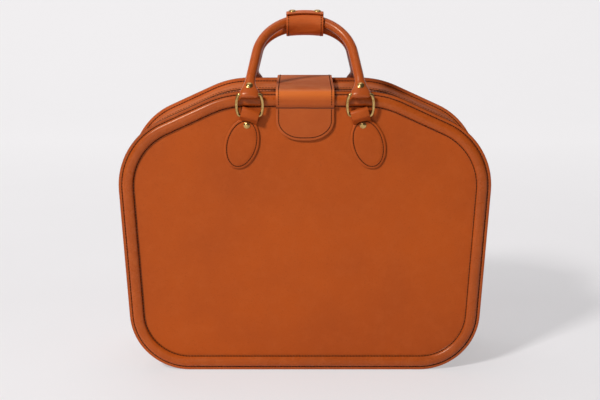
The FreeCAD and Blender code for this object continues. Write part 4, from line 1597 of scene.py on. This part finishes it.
@dataclass
class Handles:
    """The two rolled handles."""

    mounts: RingMounts
    palette: Palette
    rivets: Rivets
    roll: float = 0.0067
    arch_radius: float = 0.0664
    arch_top: float = 0.122
    splay: float = 10.0
    foot_z: float = 0.028
    end_depth: float = 0.0051
    rivet_rise: float = 0.0113
    leans: tuple[float, float] = (40.38, 45.97)
    end_steps: tuple[tuple[float, float, float], ...] = (
        (25.5, 6.8, 6.6), (22.5, 7.0, 6.2), (19.5, 7.4, 5.7), (16.4, 8.0, 5.3), (13.5, 8.9, 5.2), (10.7, 10.1, 5.2),
        (8.0, 11.6, 5.2), (5.0, 12.9, 5.2), (2.0, 13.5, 5.2), (-0.5, 13.4, 5.0), (-2.6, 12.7, 4.3), (-4.2, 11.4, 2.9),
        (-5.1, 9.4, 0.9),
    )
    blend_from: float = 28.0
    blend_over: float = 11.6

    def build(self) -> None:
        """Builds both handles with their rivets."""
        for index, side in enumerate((Side.FRONT, Side.REAR)):
            place = self.placed(side, index)
            label = side.value + "_handle"
            obj = Bench.place(self.handle(label + "_roll"), place)
            Bench.paint(obj, self.palette.handle)
            Bench.finish(obj, label, "handle_leather", label, smooth=60)
            for hand in (-1, 1):
                seat = Matrix.Translation((hand * self.mounts.ring_x, -self.end_depth, self.rivet_rise))
                self.rivets.put(f"{side.value}_{side.hand(hand)}_handle_rivet", place @ seat, label)

    def placed(self, side: Side, index: int) -> Matrix:
        """Gives the place of a handle that stands in the front plane with its ring bars on X.

        Args:
            side: Half of the case.
            index: Which of the leans it has.

        Returns:
            The handle's matrix.
        """
        tip = math.radians(self.mounts.leans[index])
        y = -self.mounts.bar_y - self.mounts.pitch * math.sin(tip)
        z = self.mounts.outline.height - self.mounts.bar_drop + self.mounts.pitch * math.cos(tip)
        lean = Matrix.Rotation(math.radians(-self.leans[index]), 4, "X")
        return side.matrix() @ Matrix.Translation((0, y, z)) @ lean

    def handle(self, label: str) -> bpy.types.Object:
        """Models a handle standing in the front plane.

        Args:
            label: Name of the object.

        Returns:
            The handle.
        """
        a = math.radians(self.splay)
        centre = Vector((0, 0, self.arch_top - self.arch_radius))
        joint = centre + Vector((-math.cos(a), 0, math.sin(a))) * self.arch_radius
        foot = Vector((joint.x - (joint.z - self.foot_z) * math.tan(a), 0, self.foot_z))
        Bench.clear()
        bpy.ops.mesh.primitive_circle_add(vertices=24, radius=self.roll, location=foot, rotation=(0, a, 0))
        obj = Bench.name(label)
        Bench.edit(obj)
        leg = joint - foot
        Bench.pull_edges(leg / 2)
        Bench.pull_edges(leg / 2)
        Bench.spin(centre, Vector((0, 1, 0)), math.pi - 2 * a, 40)
        down = Vector((leg.x, 0, -leg.z))
        Bench.pull_edges(down / 2)
        Bench.pull_edges(down / 2)
        for hand in (-1, 1):
            self.end(obj, hand, abs(foot.x))
        bpy.ops.object.mode_set(mode="OBJECT")
        Bench.edit(obj)
        Bench.seal()
        Bench.modify(obj, "SUBSURF", levels=1, render_levels=1)
        return obj

    def end(self, obj: bpy.types.Object, hand: int, foot_x: float) -> None:
        """Flattens one end of a handle round its ring.

        Args:
            obj: The handle.
            hand: -1 for the left end, 1 for the right.
            foot_x: Distance of the roll's foot from the middle.
        """
        limit = self.foot_z + 0.004
        Bench.choose_points(obj, lambda at: at.x * hand > 0 and at.z < limit)
        at = Vector((hand * foot_x, 0, self.foot_z))
        wide = deep = self.roll
        for z, half_x, half_y in self.end_steps:
            blend = min(1.0, (self.blend_from - z) / self.blend_over)
            to = Vector((hand * (foot_x + (self.mounts.ring_x - foot_x) * blend), 0, z / 1000))
            Bench.pull_edges(to - at)
            Bench.stretch((half_x / 1000 / wide, half_y / 1000 / deep, 0), to)
            wide, deep, at = half_x / 1000, half_y / 1000, to


@dataclass
class Wrap:
    """The wrap that holds the two handles, with its snapped leaf."""

    outline: CaseOutline
    palette: Palette
    stitching: Stitching
    leans: tuple[float, float]
    front: tuple[float, float] = (-0.00665, 0.08832)
    rear: tuple[float, float] = (0.00683, 0.07770)
    bore: float = 0.0090
    bow: float = 24.0
    arch_radius: float = 0.0664
    follow: float = 0.5
    thickness: float = 0.0022
    half_length: float = 0.0255
    root: float = 55.0
    free: float = 138.0
    lift: float = 0.0024
    lift_angle: float = 24.0
    gap: float = 0.0001
    row_inset: float = 0.0033
    snap_x: float = 0.017
    snap_angle: float = 98.0
    snap_profile: Profile = (
        (0, 1.5), (1.6, 1.48), (3.2, 1.32), (4.0, 1.0), (4.2, 0.62), (4.6, 0.55), (5.2, 0.42), (5.4, 0.1),
        (5.3, -1.0), (0, -1.0),
    )

    def build(self) -> None:
        """Builds the band, its leaf and the snap caps."""
        self.band()
        self.leaf()
        for hand, label in ((-1, "left"), (1, "right")):
            self.snap(hand, f"wrap_{label}_snap")

    def sag(self, x: float) -> float:
        """Gives how far the rolls have curved down, against the wrap's mean.

        Args:
            x: Distance from the middle.

        Returns:
            The distance down.
        """

        def fall(reach: float) -> float:
            """Gives the arch's own fall at a distance from its middle."""
            return self.arch_radius - math.sqrt(self.arch_radius**2 - reach**2)

        return (fall(x) - fall(self.half_length) / 2) * self.follow

    def drop(self, side: Side, x: float) -> Vector:
        """Gives a roll's move across the side plane at a distance from the middle.

        Args:
            side: Which of the rolls.
            x: Distance from the middle.

        Returns:
            The move, along the handle's own lean.
        """
        a = math.radians(self.leans[0] if side is Side.FRONT else self.leans[1])
        out = -1 if side is Side.FRONT else 1
        return Vector((out * math.sin(a), -math.cos(a))) * self.sag(x)

    def centre(self, side: Side, x: float | None = None) -> Vector:
        """Gives a roll's centre in the side plane, at a distance from the middle or on the mean.

        Args:
            side: Which of the rolls.
            x: Distance from the middle, or None for the mean.

        Returns:
            The centre.
        """
        y, z = self.front if side is Side.FRONT else self.rear
        place = Vector((y + MIDDLE_Y, z + self.outline.height))
        return place if x is None else place + self.drop(side, x)

    def loop(self, radius: float, x: float | None = None) -> Path:
        """Gives a line round both rolls, in the side plane.

        Args:
            radius: Distance from each roll's centre.
            x: Distance from the middle, or None for the mean.

        Returns:
            The closed line.
        """
        front, rear = self.centre(Side.FRONT, x), self.centre(Side.REAR, x)
        along = (rear - front).normalized()
        out = Vector((-along.y, along.x)) * radius
        reach = (rear - front).length / 2 / math.sin(math.radians(self.bow))
        heart = (front + rear) / 2 + out.normalized() * reach * math.cos(math.radians(self.bow))
        path = Path(tuple(rear + out), closed=True).to(*(front + out), 5)
        path.round(tuple(front), 180 - self.bow, 14).round(tuple(heart), 2 * self.bow, 8)
        return path.round(tuple(rear), 180 - self.bow, 14)

    def arch(self, obj: bpy.types.Object, pieces: int, sides: Sequence[Side]) -> None:
        """Bends a straight length of the wrap to the curve of the rolls.

        Args:
            obj: The length, along X.
            pieces: Number of lengthwise strips in it.
            sides: The rolls that it lies on.
        """
        front, rear = self.centre(Side.FRONT), self.centre(Side.REAR)
        middle, along = (front + rear) / 2, rear - front
        for k in range(pieces + 1):
            x = self.half_length * (2 * k / pieces - 1)
            for side in sides:

                def near(at: Vector) -> bool:
                    """Says whether a point is at this distance and on this roll."""
                    ahead = (Vector((at.y, at.z)) - middle).dot(along) < 0
                    return abs(at.x - x) < 1e-4 and (len(sides) == 1 or ahead == (side is Side.FRONT))

                Bench.choose_points(obj, near)
                move = self.drop(side, x)
                bpy.ops.transform.translate(value=(0, move.x, move.y))
        bpy.ops.object.mode_set(mode="OBJECT")

    def band(self) -> None:
        """Makes the band, bent to the handles, with a stitch row at each end."""
        middle = self.bore + self.thickness / 2
        obj = Bench.draw("wrap_band_leather", self.loop(middle), Plane.SIDE, -self.half_length)
        for _ in range(10):
            Bench.pull_edges(Vector((self.half_length / 5, 0, 0)))
        Bench.seal(cap=False)
        self.arch(obj, 10, tuple(Side))
        Bench.modify(obj, "SOLIDIFY", thickness=self.thickness, offset=0.0)
        Bench.soften(obj, 0.0006, 3, 50)
        Bench.paint(obj, self.palette.wrap, self.palette.edge)
        Bench.paint_faces(obj, 1, lambda at, out: abs(out.x) > 0.8)
        Bench.finish(obj, "front_handle", "handle_leather", "wrap_band", smooth=50)
        for hand, label in ((-1, "left"), (1, "right")):
            x = hand * (self.half_length - self.row_inset)
            path = self.loop(self.bore + self.thickness - 0.00005, x)
            self.stitching.laid().row(f"wrap_{label}_stitches", path, across(x), "front_handle")

    def leaf(self) -> None:
        """Makes the leaf that folds over the top, lifted a little at its free edge."""
        inner = self.bore + self.thickness + self.gap
        y, z = self.centre(Side.FRONT)

        def at(radius: float, degrees: float) -> tuple[float, float]:
            """Gives the point at a radius and an angle round the front roll."""
            a = math.radians(degrees)
            return y + radius * math.cos(a), z + radius * math.sin(a)

        outer = inner + self.thickness
        half = self.lift_angle / 2
        flat = self.free - self.root - self.lift_angle
        loop = Path(at(inner, self.root), closed=True).round((y, z), flat, 12)
        loop.to(*at(inner + 0.35 * self.lift, self.free - half)).to(*at(inner + self.lift, self.free))
        loop.to(*at(outer + self.lift, self.free)).to(*at(outer + 0.35 * self.lift, self.free - half))
        loop.to(*at(outer, self.free - self.lift_angle)).round((y, z), -flat, 12).to(*loop.start)
        obj = Bench.draw("wrap_leaf_leather", loop, Plane.SIDE, -self.half_length)
        for _ in range(12):
            Bench.pull_edges(Vector((self.half_length / 6, 0, 0)))
        Bench.seal()
        self.arch(obj, 12, (Side.FRONT,))
        Bench.soften(obj, 0.0005, 2, 50)
        Bench.paint(obj, self.palette.wrap, self.palette.edge)
        # The leaf's ends and its free edge take the dark edge finish, partly edge dye and partly painted shadow of the
        # slit under the leaf.
        Bench.paint_faces(obj, 1, lambda spot, out: abs(out.x) > 0.8 or out.y < -0.7 and out.z < -0.2)
        Bench.finish(obj, "wrap_leaf", "handle_leather", "wrap_tab", smooth=50)

    def snap(self, hand: int, label: str) -> None:
        """Sets one brass snap cap on the leaf.

        Args:
            hand: -1 for the left, 1 for the right.
            label: Name of the solid that it stands for.
        """
        obj = Bench.lathe(label + "_cap", self.snap_profile, 30)
        Bench.paint(obj, self.palette.brass)
        y, z = self.centre(Side.FRONT, self.snap_x)
        a = math.radians(self.snap_angle)
        reach = self.bore + 2 * self.thickness + self.gap
        foot = Vector((hand * self.snap_x, y + reach * math.cos(a), z + reach * math.sin(a)))
        out = Vector((0, math.cos(a), math.sin(a)))
        turn = Vector((0, -1, 0)).rotation_difference(out).to_matrix().to_4x4()
        Bench.place(obj, Matrix.Translation(foot) @ turn)
        Bench.finish(obj, "wrap_leaf", "brass", label, smooth=50)


@dataclass
class ClosingStrap:
    """The strap over the top of the case and its sewn tail."""

    outline: CaseOutline
    palette: Palette
    stitching: Stitching
    half_width: float = 0.039
    thickness: float = 0.004
    drop: float = 0.066
    tip: tuple[float, float] = (0.034, 0.027)
    clear_y: float = 0.0777
    face_y: float = 0.0724
    break_y: float = 0.0715
    bend: float = 0.0065
    crease: float = 0.0226
    row_inset: float = 0.0036

    def build(self) -> None:
        """Builds the strap, its tail and their stitches."""
        self.leather("closing_strap_leather", 1, "closing_strap", "closure_flap")
        self.leather("strap_tail_leather", -1, "rear_half", "flap_anchor")

    def line(self, hand: int, grow: float) -> Path:
        """Gives the strap's line from its tip, in the side plane.

        Args:
            hand: 1 for the front, -1 for the tail.
            grow: Distance outside the strap's inner face.

        Returns:
            The path up over the top.
        """
        top = self.outline.height
        face, clear = self.face_y + grow, self.clear_y + grow
        bend = self.bend + grow
        low = top - self.drop

        def side(y: float) -> float:
            """Gives the place of a distance from the middle on this side."""
            return -hand * y

        path = Path((side(face), low))
        for k in range(1, 9):
            path.to(side(face), low + self.tip[1] * (1 - math.cos(math.pi / 2 * k / 8)))
        fold = top - self.crease + 0.15 * grow
        path.to(side(face), fold - 0.0012, 3).to(side(face + 0.0004), fold + 0.0003)
        path.to(side(clear - 0.0009), top - 0.0176 + 0.1 * grow, 2).to(side(clear), top - 0.0145)
        path.to(side(clear), top + grow - bend, 2)
        path.round((side(clear - bend), top + grow - bend), -hand * 90, 8)
        if hand > 0:
            path.to(-0.05, top + grow, 2).to(0.05, top + grow, 6).to(self.break_y - 0.0003, top + grow, 2)
        else:
            path.to(self.break_y + 0.0003, top + grow)
        return path

    def leather(self, label: str, hand: int, body: str, node: str) -> None:
        """Makes one length of the strap and sews its edge.

        Args:
            label: Name of the piece.
            hand: 1 for the front, -1 for the tail.
            body: Body that it moves with.
            node: Solid that it stands for.
        """
        w = self.half_width
        wide, tall = self.tip
        obj = Bench.draw(label, self.line(hand, self.thickness / 2), Plane.SIDE, -w)
        for _ in range(16):
            Bench.pull_edges(Vector((w / 8, 0, 0)))
        bpy.ops.object.mode_set(mode="OBJECT")
        low = self.outline.height - self.drop
        for k in range(8):
            z = low + tall * (1 - math.cos(math.pi / 2 * k / 8))
            reach = w - wide + wide * math.sin(math.pi / 2 * k / 8)
            Bench.choose_points(obj, lambda at: abs(at.z - z) < 1e-5)
            Bench.stretch((reach / w, 1, 1), Vector((0, 0, z)))
        Bench.edit(obj)
        Bench.seal(cap=False)
        Bench.modify(obj, "SOLIDIFY", thickness=self.thickness - 0.0002, offset=0.0)
        Bench.soften(obj, 0.0008, 3, 60)
        Bench.paint(obj, self.palette.strap, self.palette.edge)
        Bench.place(obj, Matrix.Translation((0, MIDDLE_Y, 0)))
        # The dark edge finish covers the cut edges and their rounding, partly edge dye and partly painted shade round
        # the strap.
        Bench.paint_faces(obj, 1, lambda at, out: abs(out.x) > 0.6 or abs(out.y) < 0.6 and at.z < low + tall)
        Bench.finish(obj, body, "tan_leather", node, smooth=45)
        self.sew(label, hand, body)

    def sew(self, label: str, hand: int, body: str) -> None:
        """Sews round the strap's tip and along its two edges.

        Args:
            label: Name of the length.
            hand: 1 for the front, -1 for the tail.
            body: Body that the rows move with.
        """
        edge = self.half_width - self.row_inset
        wide, tall = self.tip[0] - self.row_inset, self.tip[1] - self.row_inset
        top = self.outline.height
        crease = top - self.crease - 0.001
        low = top - self.drop + self.row_inset
        tip = Path((-edge, crease)).to(-edge, low + tall, 3)
        for k in range(1, 17):
            a = math.pi / 2 * k / 16
            tip.to(-edge + wide * (1 - math.cos(a)), low + tall * (1 - math.sin(a)))
        tip.to(edge - wide, low)
        for k in range(1, 17):
            a = math.pi / 2 * k / 16
            tip.to(edge - wide * (1 - math.sin(a)), low + tall * (1 - math.cos(a)))
        tip.to(edge, crease, 3)
        turn = Side.FRONT.matrix() if hand > 0 else Side.REAR.matrix()
        self.stitching.row(label + "_tip_stitches", tip, turn @ stand(self.face_y + self.thickness), body)
        path = self.line(hand, self.thickness)
        over = Path(path.start)
        place = path.start
        for run in path.runs:
            end = run.end_from(place)
            if max(place[1], end[1]) > crease + 0.001:
                if not over.runs:
                    over.start = place
                over.runs.append(run)
            place = end
        sewn = self.stitching.laid()
        for x, side in ((-edge, "left"), (edge, "right")):
            spot = Matrix.Translation((0, MIDDLE_Y, 0)) @ across(x)
            sewn.row(f"{label}_{side}_stitches", over, spot, body)


@dataclass
class ZipRunners:
    """The two sliders that meet on the right side, with their pulls."""

    outline: CaseOutline
    palette: Palette
    height_z: float = 0.165
    length: float = 0.018
    spacing: float = 0.0194
    eye: Profile = (
        (0.85, 1.7), (1.65, 1.7), (1.7, 1.6), (1.7, -1.6), (1.65, -1.7), (0.85, -1.7), (0.85, 1.7),
    )

    def build(self) -> None:
        """Builds both sliders and pulls."""
        for up, label in ((1, "upper"), (-1, "lower")):
            self.runner(up, label)

    def runner(self, up: int, label: str) -> None:
        """Builds one slider and its pull.

        Args:
            up: 1 for the upper slider, -1 for the lower.
            label: "upper" or "lower".
        """
        half = self.length / 2
        hinge = up * (half - 0.0025)

        def block(
            name: str, x: tuple[float, float], y: tuple[float, float], z: tuple[float, float], bevel: float
        ) -> bpy.types.Object:
            """Makes one block of the slider, from its reach along each axis in millimetres."""
            low = Vector((x[0], y[0], z[0])) / 1000
            high = Vector((x[1], y[1], z[1])) / 1000
            return Bench.block(name, low, high, bevel)

        h, g = half * 1000, hinge * 1000
        slider = Bench.join([
            block(f"{label}_slider_body", (-7.4, -5.8), (-5.2, 5.2), (-h, h), 0.0006),
            block("plate", (-13.6, -12.0), (-5.2, 5.2), (-h, h), 0.0006),
            block("post", (-12.5, -7.0), (-0.4, 0.4), (-h + 1, h - 1), 0.00015),
            block("ear", (-6.5, -2.6), (-3.1, -2.1), (g - 1.2, g + 1.2), 0.0003),
            block("ear", (-6.5, -2.6), (2.1, 3.1), (g - 1.2, g + 1.2), 0.0003),
            block("pin", (-4.5, -3.1), (-2.6, 2.6), (g - 0.7, g + 0.7), 0.0004),
        ])
        grip = Path((0.0017, -0.002), closed=True).to(0.0017, -0.0055).to(0.0036, -0.0075).to(0.0036, -0.0215)
        grip.round((0.0011, -0.0215), -90, 5).to(-0.0011, -0.024).round((-0.0011, -0.0215), -90, 5)
        grip.to(-0.0036, -0.0075).to(-0.0017, -0.0055).to(-0.0017, -0.002).to(0.0017, -0.002)
        pull = Bench.plate(f"{label}_pull_tab", grip, Plane.SIDE, -0.0008, 0.0016)
        Bench.inset([(0.8, 0.0), (0.3, -0.25)])
        bpy.ops.object.mode_set(mode="OBJECT")
        Bench.soften(pull, 0.0002, 2, 50)
        pull = Bench.join([pull, Bench.lathe("eye", self.eye, 20)])
        run = self.outline.shoulder_half - self.outline.bottom_half
        slope = math.atan2(run, self.outline.shoulder_height)
        z = self.height_z + up * self.spacing / 2
        spot = Vector((self.outline.bottom_half + run * z / self.outline.shoulder_height, MIDDLE_Y, z))
        wall = Matrix.Translation(spot) @ Matrix.Rotation(slope, 4, "Y")
        pivot = Matrix.Translation((-0.0038, 0, hinge))
        Bench.place(slider, wall)
        Bench.place(pull, wall @ pivot @ Matrix.Rotation(-slope, 4, "Y"))
        for obj, body, node in ((slider, "slider", "zip_slider"), (pull, "pull", "zip_pull")):
            Bench.paint(obj, self.palette.zip_metal)
            Bench.finish(obj, f"{label}_{body}", "zip_metal", f"{label}_{node}")


@dataclass
class Studio:
    """Pale sweep, soft lamps and the camera."""

    eye: tuple[float, float, float] = (-0.0067, -1.679, 0.619)
    tilt: float = 13.13
    lens: float = 72.34
    lift: tuple[float, float] = (0.48, 0.80)
    aim: tuple[float, float, float] = (0.0, 0.0, 0.22)

    def build(self) -> None:
        """Builds the sweep, the lamps and the camera."""
        self.backdrop()
        self.lamps()
        self.camera()

    def backdrop(self) -> None:
        """Makes the floor and the wall behind it as one sheet."""
        line = Path((-3.5, 0.0)).to(2.2, 0.0).round((2.2, 1.2), 90, 24).to(3.4, 4.0)
        obj = Bench.draw("pale_sweep", line, Plane.SIDE, -6.0)
        Bench.pull_edges(Vector((12.0, 0, 0)))
        Bench.seal(cap=False)
        Bench.edit(obj)
        bpy.ops.mesh.normals_make_consistent(inside=True)
        Bench.clear()
        Bench.pick(obj)
        bpy.ops.object.shade_smooth()
        mix = Mixer("pale_paper")
        cloud = mix.spread(mix.noise(3.0, 2.0, 0.5), 0.3, 0.7, (0.0, 1.0))
        mix.feed("Base Color", mix.blend(cloud, linear(232, 230, 233), linear(228, 226, 229)))
        mix.feed("Roughness", 0.9)
        mix.feed("Specular IOR Level", 0.1)
        self.brighten(mix)
        Bench.paint(obj, mix.material)
        obj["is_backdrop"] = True

    def brighten(self, mix: Mixer) -> None:
        """Lifts the paper towards white where it is looked at, and gives the case no more light.

        Args:
            mix: Nodes of the paper's material.
        """
        seen = mix.node("ShaderNodeLightPath").outputs
        looked = mix.math("ADD", seen["Is Camera Ray"], seen["Is Glossy Ray"])
        looked = mix.math("ADD", looked, seen["Is Transmission Ray"])
        # Painted light: the glow grows from the front of the floor to the back of the sweep.
        rise = mix.spread(mix.axis(1), 0.25, 1.7, self.lift)
        share = mix.math("MULTIPLY", mix.spread(looked, 0.0, 1.0, (0.0, 1.0)), rise)
        glow = mix.node("ShaderNodeEmission")
        glow.inputs["Color"].default_value = linear(250, 248, 249)
        both = mix.node("ShaderNodeMixShader")
        mix.link(share, both.inputs[0])
        mix.link(mix.shader.outputs[0], both.inputs[1])
        mix.link(glow.outputs[0], both.inputs[2])
        output = next(node for node in mix.tree.nodes if node.type == "OUTPUT_MATERIAL")
        mix.link(both.outputs[0], output.inputs["Surface"])

    def lamps(self) -> None:
        """Hangs a key lamp at the upper left, a fill and a lamp overhead."""
        self.lamp("key", (-3.0, -3.7, 4.0), 0.8, 302.0, (1.0, 0.985, 0.96))
        self.lamp("fill", (-0.9, -3.2, 0.4), 1.2, 8.0, (0.97, 0.98, 1.0))
        self.lamp("overhead", (-0.3, 0.6, 2.9), 2.2, 22.0, (1.0, 1.0, 1.0))
        world = bpy.data.worlds.new("studio")
        world.use_nodes = True
        shade = world.node_tree.nodes["Background"]
        shade.inputs["Color"].default_value = (0.93, 0.93, 0.96, 1.0)
        shade.inputs["Strength"].default_value = 0.10
        bpy.context.scene.world = world

    def lamp(
        self,
        label: str,
        place: tuple[float, float, float],
        size: float,
        power: float,
        colour: tuple[float, float, float],
    ) -> None:
        """Hangs one square soft lamp that faces the case.

        Args:
            label: Name of the lamp.
            place: Where it hangs.
            size: Length of its side.
            power: Watts.
            colour: Tint of its light.
        """
        Bench.clear()
        turn = (Vector(self.aim) - Vector(place)).to_track_quat("-Z", "Y").to_euler()
        bpy.ops.object.light_add(type="AREA", location=place, rotation=turn)
        light = bpy.context.object
        light.name = label
        light.data.size = size
        light.data.energy = power
        light.data.color = colour

    def camera(self) -> None:
        """Sets the camera where the photograph was taken from."""
        Bench.clear()
        bpy.ops.object.camera_add(location=self.eye, rotation=(math.radians(90 - self.tilt), 0, 0))
        camera = bpy.context.object
        camera.data.sensor_width = 36.0
        camera.data.lens = self.lens
        bpy.context.scene.camera = camera


@dataclass
class HiddenParts:
    """Solids that stay as they are, with a finish of their own."""

    palette: Palette
    nodes: dict[str, bpy.types.Object]

    def build(self) -> None:
        """Dresses the boards, magnets and studs."""
        finishes = {
            "front_board": self.palette.board,
            "rear_board": self.palette.board,
            "flap_magnet": self.palette.steel,
            "panel_magnet": self.palette.steel,
            "wrap_left_stud": self.palette.brass,
            "wrap_right_stud": self.palette.brass,
        }
        for label, finish in finishes.items():
            Bench.paint(self.nodes[label], finish)
            LOG.info("%s keeps its solid", label)


def corners(box: Sequence[Vector]) -> list[list[float]]:
    """Gives a box's two corners as plain numbers."""
    return [[float(value) for value in corner] for corner in box]


def main() -> None:
    """Builds the whole suitcase and its studio."""
    logging.basicConfig(level=logging.INFO, format="%(message)s")
    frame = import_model()
    cad_box = corners(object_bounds())
    bpy.context.scene.view_settings.view_transform = "Standard"
    palette = Palette()
    outline = CaseOutline()
    stitching = Stitching(palette.thread, groove_shade=palette.groove_shade)
    rivets = Rivets(palette)
    for side in Side:
        Half(side, outline, palette, stitching).build()
    BottomWall(palette).build()
    fine = stitching.fine()
    mounts = RingMounts(outline, palette, fine, rivets)
    mounts.build()
    handles = Handles(mounts, palette, rivets)
    handles.build()
    rivets.clear_up()
    Wrap(outline, palette, fine, handles.leans).build()
    ClosingStrap(outline, palette, fine).build()
    ZipRunners(outline, palette).build()
    HiddenParts(palette, frame["nodes"]).build()
    Studio().build()
    Bench.clear()
    {"cad_box": cad_box, "visual_box": corners(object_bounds())}


if __name__ == "__main__":
    main()
